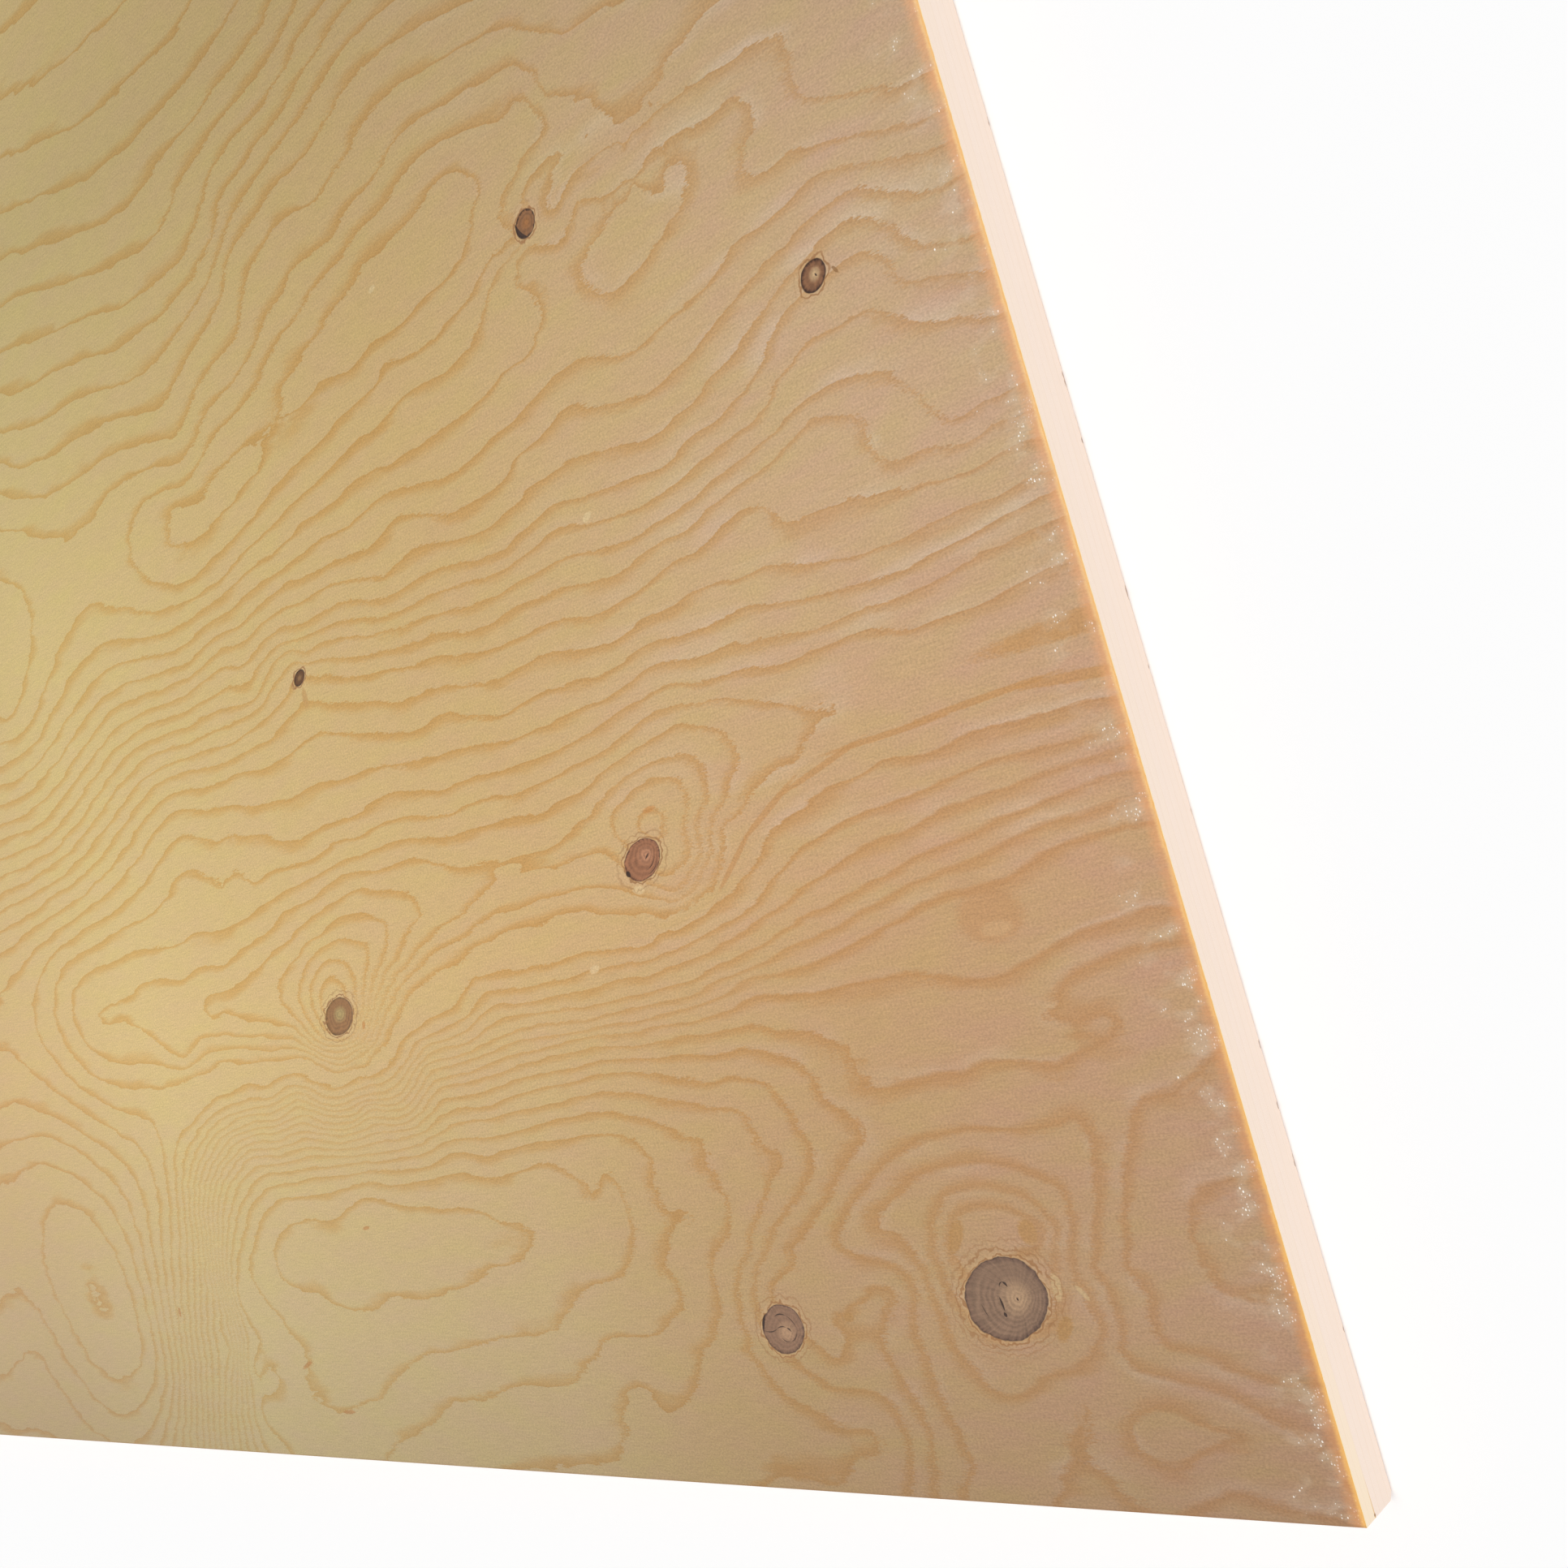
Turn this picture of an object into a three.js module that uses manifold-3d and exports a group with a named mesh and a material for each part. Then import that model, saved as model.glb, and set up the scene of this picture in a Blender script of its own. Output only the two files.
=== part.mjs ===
// A full sheet of softwood plywood, lying on its back face with the good face up.
//
// Units are millimetres and +Z is up. The origin is at the middle of the back face,
// on the plane that the sheet rests on. X runs along the length, which is also the
// way the face grain runs, Y runs across the width, and Z is the thickness.
// The sheet is one board: its veneers are glued for good, so it is one solid.

import * as THREE from 'three';
import { mergeVertices } from 'three/addons/utils/BufferGeometryUtils.js';
import Module from 'manifold-3d';

// Driving dimensions

const length = 2440; // the long side, along the face grain
const width = 1220; // the short side, across the face grain
const thickness = 18; // face to face

const arris = 0.3; // how far the saw and the sander break the edges of both faces

// One back corner, where the end meets the right-hand side, has been knocked off.
const chipAlongSide = 3.2; // length that the chip takes from the long side
const chipAlongEnd = 2.4; // length that it takes from the end
const chipUp = 2.1; // height that it takes from the corner, measured from the back face

const wasm = await Module();
wasm.setup();

// Turns a closed three.js geometry into a solid that can be cut.
function toSolid(geometry) {
  const bare = geometry.clone().deleteAttribute('normal').deleteAttribute('uv');
  const merged = mergeVertices(bare, 1e-4);
  return new wasm.Manifold(
    new wasm.Mesh({
      numProp: 3,
      vertProperties: new Float32Array(merged.attributes.position.array),
      triVerts: new Uint32Array(merged.index.array),
    }),
  );
}

// Turns a solid back into a three.js geometry with flat faces.
function toGeometry(solid) {
  const mesh = solid.getMesh();
  const indexed = new THREE.BufferGeometry();
  indexed.setAttribute('position', new THREE.BufferAttribute(mesh.vertProperties, 3));
  indexed.setIndex(new THREE.BufferAttribute(mesh.triVerts, 1));
  const geometry = indexed.toNonIndexed();
  geometry.computeVertexNormals();
  return geometry;
}

// The board: a rectangle extruded through the thickness, with both faces' edges broken.
function boardGeometry() {
  const outline = new THREE.Shape([
    new THREE.Vector2(-length / 2, -width / 2),
    new THREE.Vector2(length / 2, -width / 2),
    new THREE.Vector2(length / 2, width / 2),
    new THREE.Vector2(-length / 2, width / 2),
  ]);
  const geometry = new THREE.ExtrudeGeometry(outline, {
    depth: thickness - 2 * arris,
    bevelEnabled: true,
    bevelThickness: arris,
    bevelSize: arris,
    bevelOffset: -arris,
    bevelSegments: 1,
  });
  return geometry.translate(0, 0, arris);
}

// The chip: a block whose one face lies in the plane through the three ends of the break.
function chipGeometry() {
  const corner = new THREE.Vector3(length / 2, -width / 2, 0);
  const onSide = corner.clone().add(new THREE.Vector3(-chipAlongSide, 0, 0));
  const onEnd = corner.clone().add(new THREE.Vector3(0, chipAlongEnd, 0));
  const above = corner.clone().add(new THREE.Vector3(0, 0, chipUp));
  const breakPlane = new THREE.Plane().setFromCoplanarPoints(onSide, above, onEnd);
  if (breakPlane.distanceToPoint(corner) < 0) breakPlane.negate();

  const side = 4 * Math.max(chipAlongSide, chipAlongEnd, chipUp);
  const geometry = new THREE.BoxGeometry(side, side, side);
  geometry.translate(0, 0, side / 2);
  const turn = new THREE.Quaternion().setFromUnitVectors(new THREE.Vector3(0, 0, 1), breakPlane.normal);
  geometry.applyQuaternion(turn);
  const onBreak = breakPlane.projectPoint(corner, new THREE.Vector3());
  return geometry.translate(onBreak.x, onBreak.y, onBreak.z);
}

const plywood = new THREE.MeshStandardMaterial({ color: '#cdb07c', roughness: 0.72, metalness: 0 });

const sheet = new THREE.Mesh(toGeometry(toSolid(boardGeometry()).subtract(toSolid(chipGeometry()))), plywood);
sheet.name = 'plywood_sheet';

const part = new THREE.Group();
part.add(sheet);

export default part;
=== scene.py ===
import math

import bmesh
import bpy
import numpy as np
from mathutils import Matrix, Vector


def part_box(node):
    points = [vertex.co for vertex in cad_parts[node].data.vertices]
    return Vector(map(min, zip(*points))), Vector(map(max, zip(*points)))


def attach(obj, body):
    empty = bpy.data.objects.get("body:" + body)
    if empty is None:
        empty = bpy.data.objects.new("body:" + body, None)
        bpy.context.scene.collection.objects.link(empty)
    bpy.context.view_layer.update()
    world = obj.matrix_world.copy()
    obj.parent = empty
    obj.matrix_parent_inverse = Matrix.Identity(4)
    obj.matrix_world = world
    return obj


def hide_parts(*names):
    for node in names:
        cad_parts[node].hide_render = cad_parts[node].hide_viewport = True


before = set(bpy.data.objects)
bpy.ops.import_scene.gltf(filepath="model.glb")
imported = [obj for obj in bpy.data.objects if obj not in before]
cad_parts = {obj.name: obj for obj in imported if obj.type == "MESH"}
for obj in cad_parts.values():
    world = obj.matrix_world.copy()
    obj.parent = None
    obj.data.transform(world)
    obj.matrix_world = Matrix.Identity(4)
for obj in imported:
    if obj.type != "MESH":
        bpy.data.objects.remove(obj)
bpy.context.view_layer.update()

# ---------------------------------------------------------------------------------------
# The board. Six softwood veneers, 3 mm each, glued under heat and sawn square to size.
# It is one closed skin: both faces, the four sawn edges with their broken arrises, and
# the corner that has been knocked off underneath.

MM = 0.001
low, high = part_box("plywood_sheet")
near = Vector((high.x, low.y, high.z))  # the corner of the good face that distances start from
length = (high.x - low.x) / MM
width = (high.y - low.y) / MM
thickness = (high.z - low.z) / MM
hair = 0.01 * MM  # closer than this counts as touching

ply = 3.0  # one veneer
arris = 0.3  # how far the edges of both faces are broken
arris_wear = 0.22  # how much further the saw has torn the end's two arrises, at most

cell_x = 20.0  # cells of the mesh, along the side and along the end
cell_y = 10.0
close_length = 880.0  # the good face is finer next to the near corner
close_width = 650.0
cuts_x = 3  # extra cuts there
cuts_y = 1
arris_cuts = 3  # extra cuts again along the end, for its worn arrises

board = bmesh.new()
cells = round(length / cell_x), round(width / cell_y)
bmesh.ops.create_grid(board, x_segments=cells[0], y_segments=cells[1], size=0.5)
for vert in board.verts:
    vert.co = near + MM * Vector((length * (vert.co.x - 0.5), width * (vert.co.y + 0.5), 0.0))

face_skin = board.faces[:]
rim = [edge for edge in board.edges if edge.is_boundary]
rows = round(thickness / ply)
for row in range(1, rows + 1):
    drawn = bmesh.ops.extrude_edge_only(board, edges=rim)["geom"]
    for vert in [item for item in drawn if isinstance(item, bmesh.types.BMVert)]:
        vert.co.z = high.z - MM * thickness * row / rows
    rim = [item for item in drawn if isinstance(item, bmesh.types.BMEdge) and item.is_boundary]

back_skin = bmesh.ops.duplicate(board, geom=face_skin)["geom"]
for vert in [item for item in back_skin if isinstance(item, bmesh.types.BMVert)]:
    vert.co.z = low.z
bmesh.ops.remove_doubles(board, verts=board.verts, dist=hair)
bmesh.ops.recalc_face_normals(board, faces=board.faces)


def close_edges(axis, edge_only=False):
    """The edges near the corner that run along one axis, on the face and on the sawn edges."""
    found = []
    for edge in board.edges:
        span = edge.verts[1].co - edge.verts[0].co
        middle = (edge.verts[0].co + edge.verts[1].co) / 2 - near
        if abs(span[axis]) < span.length - hair or middle.x < -MM * close_length:
            continue
        on_end = abs(middle.x) < hair and middle.y < MM * close_width
        on_side = abs(middle.y) < hair and not edge_only
        on_face = abs(middle.z) < hair and middle.y < MM * close_width and not edge_only
        if on_end or on_side or on_face:
            found.append(edge)
    return found


bmesh.ops.subdivide_edges(board, edges=close_edges(0), cuts=cuts_x, use_grid_fill=True)
bmesh.ops.subdivide_edges(board, edges=close_edges(1), cuts=cuts_y, use_grid_fill=True)
bmesh.ops.subdivide_edges(board, edges=close_edges(1, True), cuts=arris_cuts, use_grid_fill=True)


# ---------------------------------------------------------------------------------------
# Knots. Each is the round of a branch that the peeling knife cut across, harder and
# darker than the veneer. The mesh is finer in and round them, and their surface has sunk
# a little below the veneer as they dried.

knot_sink = 0.25  # mm
sink_slope = (1.06, 0.86)  # where that starts and where it is full, in half widths of the knot
knot_reaches = (3.0, 1.9, 1.3)  # the mesh's cells are halved within each of these half widths

# For each: x and y of the middle from the near corner, half the long and half the short way
# across, in mm, the turn of the long way from +X in degrees, how brown it is, from mauve
# grey to dark brown, the width of its dark rim in mm, and where its pith lies on its axes
GOOD_KNOTS = [
    (-98.4, 65.8, 16.4, 12.7, 21, 0.0, 2.6, 0.27, -0.12),
    (-196.8, 57.3, 10.2, 8.3, 26, 0.08, 1.0, 0.05, -0.2),
    (-198.3, 222.8, 10.0, 6.3, 21, 0.4, 0.7, 0.3, 0.05),
    (-401.5, 193.7, 11.2, 7.0, 20, 0.55, 1.6, 0.1, 0.1),
    (-59.1, 371.8, 5.4, 4.1, 29, 0.8, 1.7, 0.15, 0.0),
    (-166.0, 433.3, 5.4, 4.1, 26, 0.9, 0.9, 0.1, 0.0),
    (-360.7, 328.7, 4.7, 2.5, 24, 1.0, 1.2, 0.0, 0.0),
    (-236.0, 806.0, 13.5, 10.5, 12, 0.1, 1.4, 0.2, 0.1),
    (-905.0, 268.0, 12.0, 8.2, 170, 0.5, 0.9, -0.2, 0.1),
    (-1190.0, 872.0, 15.0, 11.0, 8, 0.05, 2.0, 0.25, 0.0),
    (-1515.0, 402.0, 9.0, 6.0, 15, 0.7, 0.8, 0.1, 0.1),
    (-1890.0, 701.0, 13.0, 9.5, 166, 0.3, 1.0, 0.2, -0.1),
    (-2240.0, 214.0, 8.5, 6.2, 20, 0.8, 0.9, 0.1, 0.0),
    (-760.0, 1015.0, 7.0, 4.6, 14, 0.9, 0.7, 0.0, 0.1),
]
BACK_KNOTS = [
    (-182.0, 171.0, 15.0, 12.0, 10, 0.3, 1.2, 0.2, 0.1),
    (-431.0, 640.0, 11.0, 8.0, 168, 0.6, 0.9, 0.1, -0.1),
    (-266.0, 1012.0, 17.0, 13.0, 15, 0.1, 2.0, 0.25, 0.0),
    (-742.0, 342.0, 13.0, 10.5, 5, 0.4, 0.8, 0.2, 0.1),
    (-968.0, 905.0, 16.0, 11.0, 172, 0.0, 1.8, -0.2, 0.1),
    (-1291.0, 148.0, 9.0, 7.0, 12, 0.9, 0.8, 0.1, 0.0),
    (-1376.0, 588.0, 18.0, 14.0, 8, 0.2, 2.0, 0.2, -0.1),
    (-1733.0, 1040.0, 12.0, 8.5, 18, 0.7, 0.9, 0.1, 0.1),
    (-1902.0, 377.0, 14.0, 11.0, 175, 0.3, 1.2, 0.2, 0.0),
    (-2236.0, 742.0, 11.0, 9.0, 11, 0.5, 1.0, 0.1, 0.1),
]


def in_ellipse(x, y, row):
    """Where points lie on an ellipse's own axes, in parts of its half widths."""
    mid_x, mid_y, half_long, half_short, turn = row[:5]
    cos, sin = math.cos(math.radians(turn)), math.sin(math.radians(turn))
    right, up = x - mid_x, y - mid_y
    return (right * cos + up * sin) / half_long, (up * cos - right * sin) / half_short


def refine(level, rows, reach):
    """Halves the cells of one face's mesh within reach of some ellipses, in half widths."""
    skin = [edge for edge in board.edges if all(abs(vert.co.z - level) < hair for vert in edge.verts)]
    middles = np.array([(edge.verts[0].co + edge.verts[1].co) / 2 - near for edge in skin]) / MM
    close = np.zeros(len(skin), bool)
    for row in rows:
        u, v = in_ellipse(middles[:, 0], middles[:, 1], row)
        close |= np.hypot(u, v) < reach
    halved = [edge for edge, is_close in zip(skin, close) if is_close]
    bmesh.ops.subdivide_edges(board, edges=halved, cuts=1, use_grid_fill=True)


for reach in knot_reaches:
    refine(high.z, GOOD_KNOTS, reach)
    refine(low.z, BACK_KNOTS, reach)


# ---------------------------------------------------------------------------------------
# The arrises, broken by the sander, and the knock under the near corner, which took the
# corner off along one plane. The saw has torn the two long arrises of the near end.

chip_side = 3.2  # the knocked-off corner: along the side, along the end and up the edge
chip_end = 2.4
chip_up = 2.1


def is_arris(edge):
    """True for the level edges where a face meets a sawn edge."""
    level = abs(edge.verts[0].co.z - edge.verts[1].co.z) < hair
    return level and len(edge.link_faces) == 2 and edge.calc_face_angle() > math.radians(60)


arrises = [edge for edge in board.edges if is_arris(edge)]
bmesh.ops.bevel(
    board, geom=arrises, offset=arris * MM, offset_type="OFFSET", segments=1,
    profile=0.5, affect="EDGES", material=-1,
)

draw = np.random.default_rng(11)
for vert in board.verts:
    inward = near.x - vert.co.x
    depth = min(high.z - vert.co.z, vert.co.z - low.z)
    if inward < 1.5 * arris * MM and depth < 1.5 * arris * MM:
        torn = arris_wear * MM * draw.random() ** 3
        if inward > hair:
            vert.co.x -= torn
        elif vert.co.z > (high.z + low.z) / 2:
            vert.co.z -= torn
        else:
            vert.co.z += torn

corner = Vector((near.x, near.y, low.z))
on_side = corner + MM * Vector((-chip_side, 0.0, 0.0))
on_end = corner + MM * Vector((0.0, chip_end, 0.0))
above = corner + MM * Vector((0.0, 0.0, chip_up))
outward = (above - on_side).cross(on_end - on_side).normalized()
if outward.dot(corner - on_side) < 0.0:
    outward.negate()
everything = board.verts[:] + board.edges[:] + board.faces[:]
bmesh.ops.bisect_plane(board, geom=everything, plane_co=on_side, plane_no=outward, clear_outer=True)
break_rim = [edge for edge in board.edges if edge.is_boundary]
broken = bmesh.ops.contextual_create(board, geom=break_rim)["faces"]
bmesh.ops.triangulate(board, faces=broken)


# ---------------------------------------------------------------------------------------
# The figure of the good face. A veneer peeled from a turning log cuts its growth rings at
# a low slant, so each ring shows as a long loop or wave with one sharp, jagged side. The
# figure is kept as a field of ring numbers, and a ring's dark late wood ends where the
# number is whole. The runs of points below lie along the late wood's sharp side.

# For each: the ring's number, then x and y of points on its sharp side, in mm from the near
# corner. A number that isn't whole holds the field between two rings.
RINGS = [
    (1, [(-505, 84), (-480, 76), (-420, 73), (-385, 74), (-352, 83), (-318, 94), (-340, 105),
         (-400, 113), (-450, 108)]),
    (2, [(-512, 110), (-473, 121), (-420, 124), (-350, 123), (-300, 124), (-262, 119), (-274, 109),
         (-256, 99), (-262, 86), (-303, 70), (-320, 58), (-370, 52), (-420, 45), (-440, 36),
         (-447, 33), (-455, 27.5), (-466, 26), (-476, 23.5), (-484, 21.5), (-495, 22.5),
         (-504, 27), (-510, 34), (-508, 42), (-502, 46), (-509, 56), (-519, 68), (-527, 77),
         (-531, 86), (-526, 96)]),
    (2.5, [(-540, 78), (-536, 68)]),
    (3.2, [(-546, 36), (-555, 34)]),
    (2.2, [(-520, 28), (-505, 14), (-530, 15), (-480, 10)]),
    (3, [(-525, 108), (-540, 93), (-546, 84), (-550, 74), (-545.6, 63), (-540, 57.8), (-542, 52),
         (-551, 46.5), (-554, 43), (-540, 41.5), (-533, 39.5), (-533, 36), (-540, 31.5),
         (-552, 27), (-558, 22), (-557.5, 16.5), (-552, 10), (-544, 4)]),
    (9, [(-568, 71), (-573, 64.4), (-574.4, 58.9), (-570, 53.3), (-572.2, 47.8), (-580, 43.3),
         (-583, 34.4), (-589, 26.7), (-597, 12)]),
    (3, [(-502, 124), (-450, 128), (-380, 127), (-330, 128), (-290, 131), (-250, 130), (-238, 122),
         (-242, 108), (-226, 98), (-247, 82), (-241, 67), (-265, 55), (-300, 48), (-350, 36),
         (-400, 27), (-430, 14), (-447, 11), (-458, 4)]),
    (4, [(-450, 133), (-350, 137), (-300, 137), (-250, 138), (-209, 127), (-213, 118), (-207, 110),
         (-221, 84), (-224, 68), (-240, 51), (-248, 38), (-283, 37), (-269, 28), (-300, 11),
         (-345, 3)]),
    (5, [(-350, 142), (-300, 144), (-250, 146), (-220, 140), (-190, 134), (-183, 120), (-172, 116),
         (-190, 100), (-203, 83), (-214, 67)]),
    (5, [(-209, 38), (-190, 27), (-168, 22), (-178, 15), (-220, 8)]),
    (6, [(-558, 70), (-552, 97), (-533, 125), (-500, 141), (-450, 141), (-400, 140), (-350, 146),
         (-300, 150), (-232, 151), (-200, 144), (-173, 142), (-164, 127), (-160, 116), (-178, 98),
         (-200, 80)]),
    (6, [(-192, 43), (-165, 36), (-155, 23), (-160, 2)]),
    (7, [(-400, 144), (-350, 152), (-300, 157), (-250, 158), (-203, 155), (-157, 148), (-147, 133),
         (-134, 122), (-152, 108), (-183, 85), (-197, 71)]),
    (7, [(-183, 77), (-172, 60), (-176, 46)]),
    (7, [(-147, 71), (-143, 66), (-153, 57)]),
    (7, [(-20, 123.6), (-31, 122.7), (-34.5, 116), (-39, 109), (-43, 100), (-48, 86), (-51, 75.5)]),
    (7, [(-47, 68), (-47, 52), (-20, 41), (0, 40)]),
    (7.7, [(-18, 143)]),
    (8, [(-220, 161), (-160, 157), (-137, 150.5), (-124, 145.5), (-131, 137), (-122, 133.6),
         (-105.5, 134.5), (-89, 134.5), (-65.5, 137), (-51, 135), (-33, 139), (-30, 143.6),
         (-36, 148), (-51, 150.5), (-55.5, 152), (-46, 157), (-40, 161), (-32, 163.3),
         (-20, 164.2), (-8, 163.9), (0, 163.8)]),
    (8.3, [(-60, 143)]),
    (8, [(-160, 87), (-151, 97), (-139, 105.5), (-119, 115.5), (-102, 117.7), (-89, 118),
         (-74, 116), (-60, 119), (-51, 117), (-50, 109), (-54.5, 95.5), (-59, 83), (-63, 75)]),
    (8, [(-150, 80), (-133, 72), (-137, 62), (-137, 45), (-135, 27), (-130, 16), (-138, 2)]),
    (8, [(-62, 50), (-80, 33), (-88, 20), (-78, 8), (-40, 9), (0, 12)]),
    (9, [(-143.6, 91), (-130, 102), (-116, 108), (-100, 109), (-80, 106), (-69, 102),
         (-65.5, 95.5), (-67, 86), (-70, 79)]),
    (9, [(-120, 46), (-112, 36), (-100, 36), (-80, 44), (-66, 56)]),
    (9, [(-68, 26), (-50, 33), (-30, 24), (-50, 15)]),
    (10, [(-121, 75.5), (-120, 83.6), (-116, 92.7), (-109, 99), (-100, 101.4), (-87, 100),
         (-78, 95.5), (-73.6, 89), (-74.5, 82), (-76, 78)]),
    (11, [(-113.6, 85.5), (-111, 91), (-102, 95.5), (-89, 94.5), (-80, 90), (-78, 85.5), (-80, 81),
         (-87, 80)]),
    (5.9, [(0, 72), (-20, 80), (0, 92)]),
    (7.7, [(-105, 123), (-85, 125), (-62, 127)]),
    (9, [(-250, 167), (-200, 166), (-180, 167), (-170, 169), (-164, 170.2), (-155, 169.3),
         (-140, 167.6), (-118, 166.8), (-105, 168.3), (-98, 168), (-91, 166.3), (-84, 164.3),
         (-75, 163.4), (-65, 163.3), (-57, 164), (-50, 165.6), (-45, 167.7), (-38, 169.2),
         (-30, 170.3), (-20, 170.8), (0, 170.3)]),
    (9.45, [(-83, 174), (-63, 172), (-44, 176)]),
    (10, [(-200, 171), (-180, 172.5), (-170, 174.8), (-160, 176), (-140, 177), (-130, 178.2),
         (-120, 180), (-110, 182.4), (-100, 184), (-90, 186), (-84, 188), (-76, 189.6), (-66, 190),
         (-56, 189.8), (-48, 191.3), (-38, 194), (-28, 196.8), (-15, 197.5), (0, 196.5)]),
    (11, [(-200, 174.2), (-190, 175.4), (-170, 178.4), (-150, 181.6), (-140, 183.3), (-130, 185),
         (-120, 187), (-110, 189.8), (-97, 192.6), (-88, 194.2), (-75, 195.8), (-60, 197.8),
         (-50, 199.8), (-38, 201.9), (-25, 202.6), (-12, 203.8), (0, 204.2)]),
    (12, [(-220, 178), (-200, 178), (-190, 178.8), (-180, 181.8), (-170, 183), (-160, 184.5),
         (-152, 186.1), (-144, 189.2), (-130, 192.3), (-120, 193), (-110, 195.6), (-100, 198),
         (-90, 200.6), (-80, 202), (-70, 203.6), (-60, 205.2), (-50, 206.9), (-35, 208.2),
         (-25, 209.6), (0, 209.9)]),
    (11, [(-568, 100), (-555, 130), (-520, 152), (-450, 160), (-400, 156), (-350, 168),
         (-300, 173), (-250, 173)]),
    (16, [(-600, 100), (-585, 130)]),
    (15.7, [(-545, 167)]),
    (15.6, [(-530, 178), (-500, 178), (-470, 175)]),
    (15.25, [(-450, 175), (-435, 173.3), (-420, 171), (-405, 170.4), (-392, 171.3), (-378, 174.6),
         (-364, 180.5)]),
    (15, [(-460, 181.5), (-450, 181), (-440, 180), (-433, 178), (-427, 175.3), (-420, 173),
         (-410, 172.2), (-402, 172.2), (-394, 173.2), (-386, 175.5), (-378, 178.3), (-370, 182.5),
         (-360, 189)]),
    (14, [(-460, 186), (-444, 185.3), (-436, 183.9), (-430, 181), (-424, 177.4), (-418, 174.9),
         (-410, 174), (-402, 174), (-394, 175.3), (-386, 178), (-379, 182), (-370, 188.5),
         (-360, 195.5)]),
    (15.6, [(-350, 187)]),
    (15.6, [(-325, 195), (-300, 202), (-275, 204), (-250, 202.3), (-235, 201)]),
    (15.7, [(-220, 200.2), (-205, 200), (-190, 200.6), (-180, 202.8)]),
    (13, [(-300, 185), (-262, 183.6), (-240, 183), (-220, 184.3), (-200, 185.2), (-190, 186),
         (-183, 187.8), (-172, 189.8), (-160, 192), (-150, 194.5), (-140, 197.3), (-130, 200.8),
         (-120, 203.6), (-107, 208), (-100, 209.3), (-90, 210), (-80, 211.2), (-75, 212.6),
         (-65, 213.6), (-55, 214.6), (-40, 215.6), (-30, 216.3), (-15, 217.3), (0, 217.5)]),
    (14, [(-262, 189.5), (-240, 191), (-220, 189.8), (-200, 190.7), (-190, 191.3), (-180, 193),
         (-170, 195.2), (-160, 197.5), (-150, 200.8), (-140, 206.8), (-132, 211), (-128, 213),
         (-120, 215), (-110, 217.2), (-100, 218.6), (-90, 219.6), (-80, 220.2), (-70, 221.2),
         (-60, 221.8), (-50, 222.8), (-30, 223), (0, 223.6)]),
    (15, [(-300, 197), (-262, 195.2), (-220, 195.5), (-200, 196.2), (-190, 197.5), (-180, 199.8),
         (-170, 202), (-162, 204.3), (-155, 208), (-150, 210.2), (-144, 214.3), (-135, 221.2),
         (-130, 223.3), (-118, 226.4), (-110, 228), (-100, 229.4), (-90, 230.4), (-75, 231.2),
         (-60, 231.6), (-50, 232.8), (-40, 232.2), (-20, 231.3), (0, 231)]),
    (15, [(-300, 208), (-262, 209.6), (-240, 211), (-231, 210.8), (-225.5, 208), (-218, 206.4),
         (-211, 204.4), (-200, 203.6), (-191, 203.2), (-183, 204.9), (-175.5, 206.9),
         (-170, 208.6), (-165.5, 212), (-160.5, 216), (-158.8, 221), (-158.6, 225.5),
         (-155, 227.6), (-148.5, 229), (-140.3, 233.6), (-130, 238.4), (-120, 241), (-110, 245.2)]),
    (14, [(-350, 201), (-320, 210), (-270, 218), (-230, 218)]),
    (13, [(-600, 215), (-560, 205), (-533, 190), (-473, 193), (-445.7, 189), (-435.7, 187),
         (-430, 184.6), (-425, 181.4), (-420, 178.8), (-415, 177), (-408, 176.2), (-400, 176.5),
         (-392, 178), (-385, 181), (-378, 186.5), (-372, 192), (-362, 199), (-350, 206),
         (-303, 220), (-283, 226.5), (-260, 229), (-251, 228.6), (-247, 227), (-241, 226.7),
         (-232, 228.7), (-223, 229.1), (-213, 227)]),
    (12.93, [(-254, 232)]),
    (12, [(-477, 202), (-460, 198.5), (-450, 196), (-443, 194.6), (-438, 192.4), (-433, 188.5),
         (-427, 184.8), (-420, 181), (-412, 179), (-404, 178.6), (-396, 179.6), (-389, 182),
         (-382, 187), (-376, 193.5), (-369, 200), (-360, 206.5), (-348, 212), (-328, 224),
         (-330, 232), (-350, 239), (-367, 242), (-378, 240.5), (-400, 236.7), (-420, 230.5),
         (-450, 222.3), (-473, 217), (-499, 204)]),
    (11, [(-441, 208), (-438, 199.6), (-433, 196.7), (-428.6, 190), (-421.4, 185.3), (-415.7, 183),
         (-410, 181.6), (-402, 181), (-395, 182), (-389, 185), (-383, 190), (-378, 196)]),
    (11, [(-372, 202), (-365, 207), (-358, 213), (-352, 220), (-351, 225), (-356, 229.5),
         (-370, 232), (-385, 231.5), (-400, 228.3), (-415, 224), (-427, 220), (-436, 215)]),
    (10, [(-378, 201), (-383, 195), (-388, 189.5), (-394, 185), (-401, 183.4), (-408, 183.6),
         (-414.3, 184.6), (-419.3, 187.4), (-422.9, 190.3), (-425, 194.6), (-425.7, 198.9),
         (-428, 203), (-426, 209), (-420, 214), (-410, 219.8), (-400, 222.7), (-387, 224.7),
         (-375, 223), (-367, 218.5), (-370, 213), (-374.5, 206)]),
    (9, [(-418, 196), (-418.5, 203), (-416, 209), (-410, 213.3), (-400, 216.7), (-393, 217.2),
         (-386, 214.5), (-383.5, 210)]),
    (8, [(-412, 201.5), (-407, 208), (-399, 211), (-393.5, 208.5)]),
    (13, [(-518, 226), (-477, 227), (-443, 235), (-420, 241), (-378, 247), (-327, 247),
         (-300, 240), (-272, 234.5), (-260, 234.3), (-247, 235.7), (-234, 238.3), (-220, 242.2),
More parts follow.
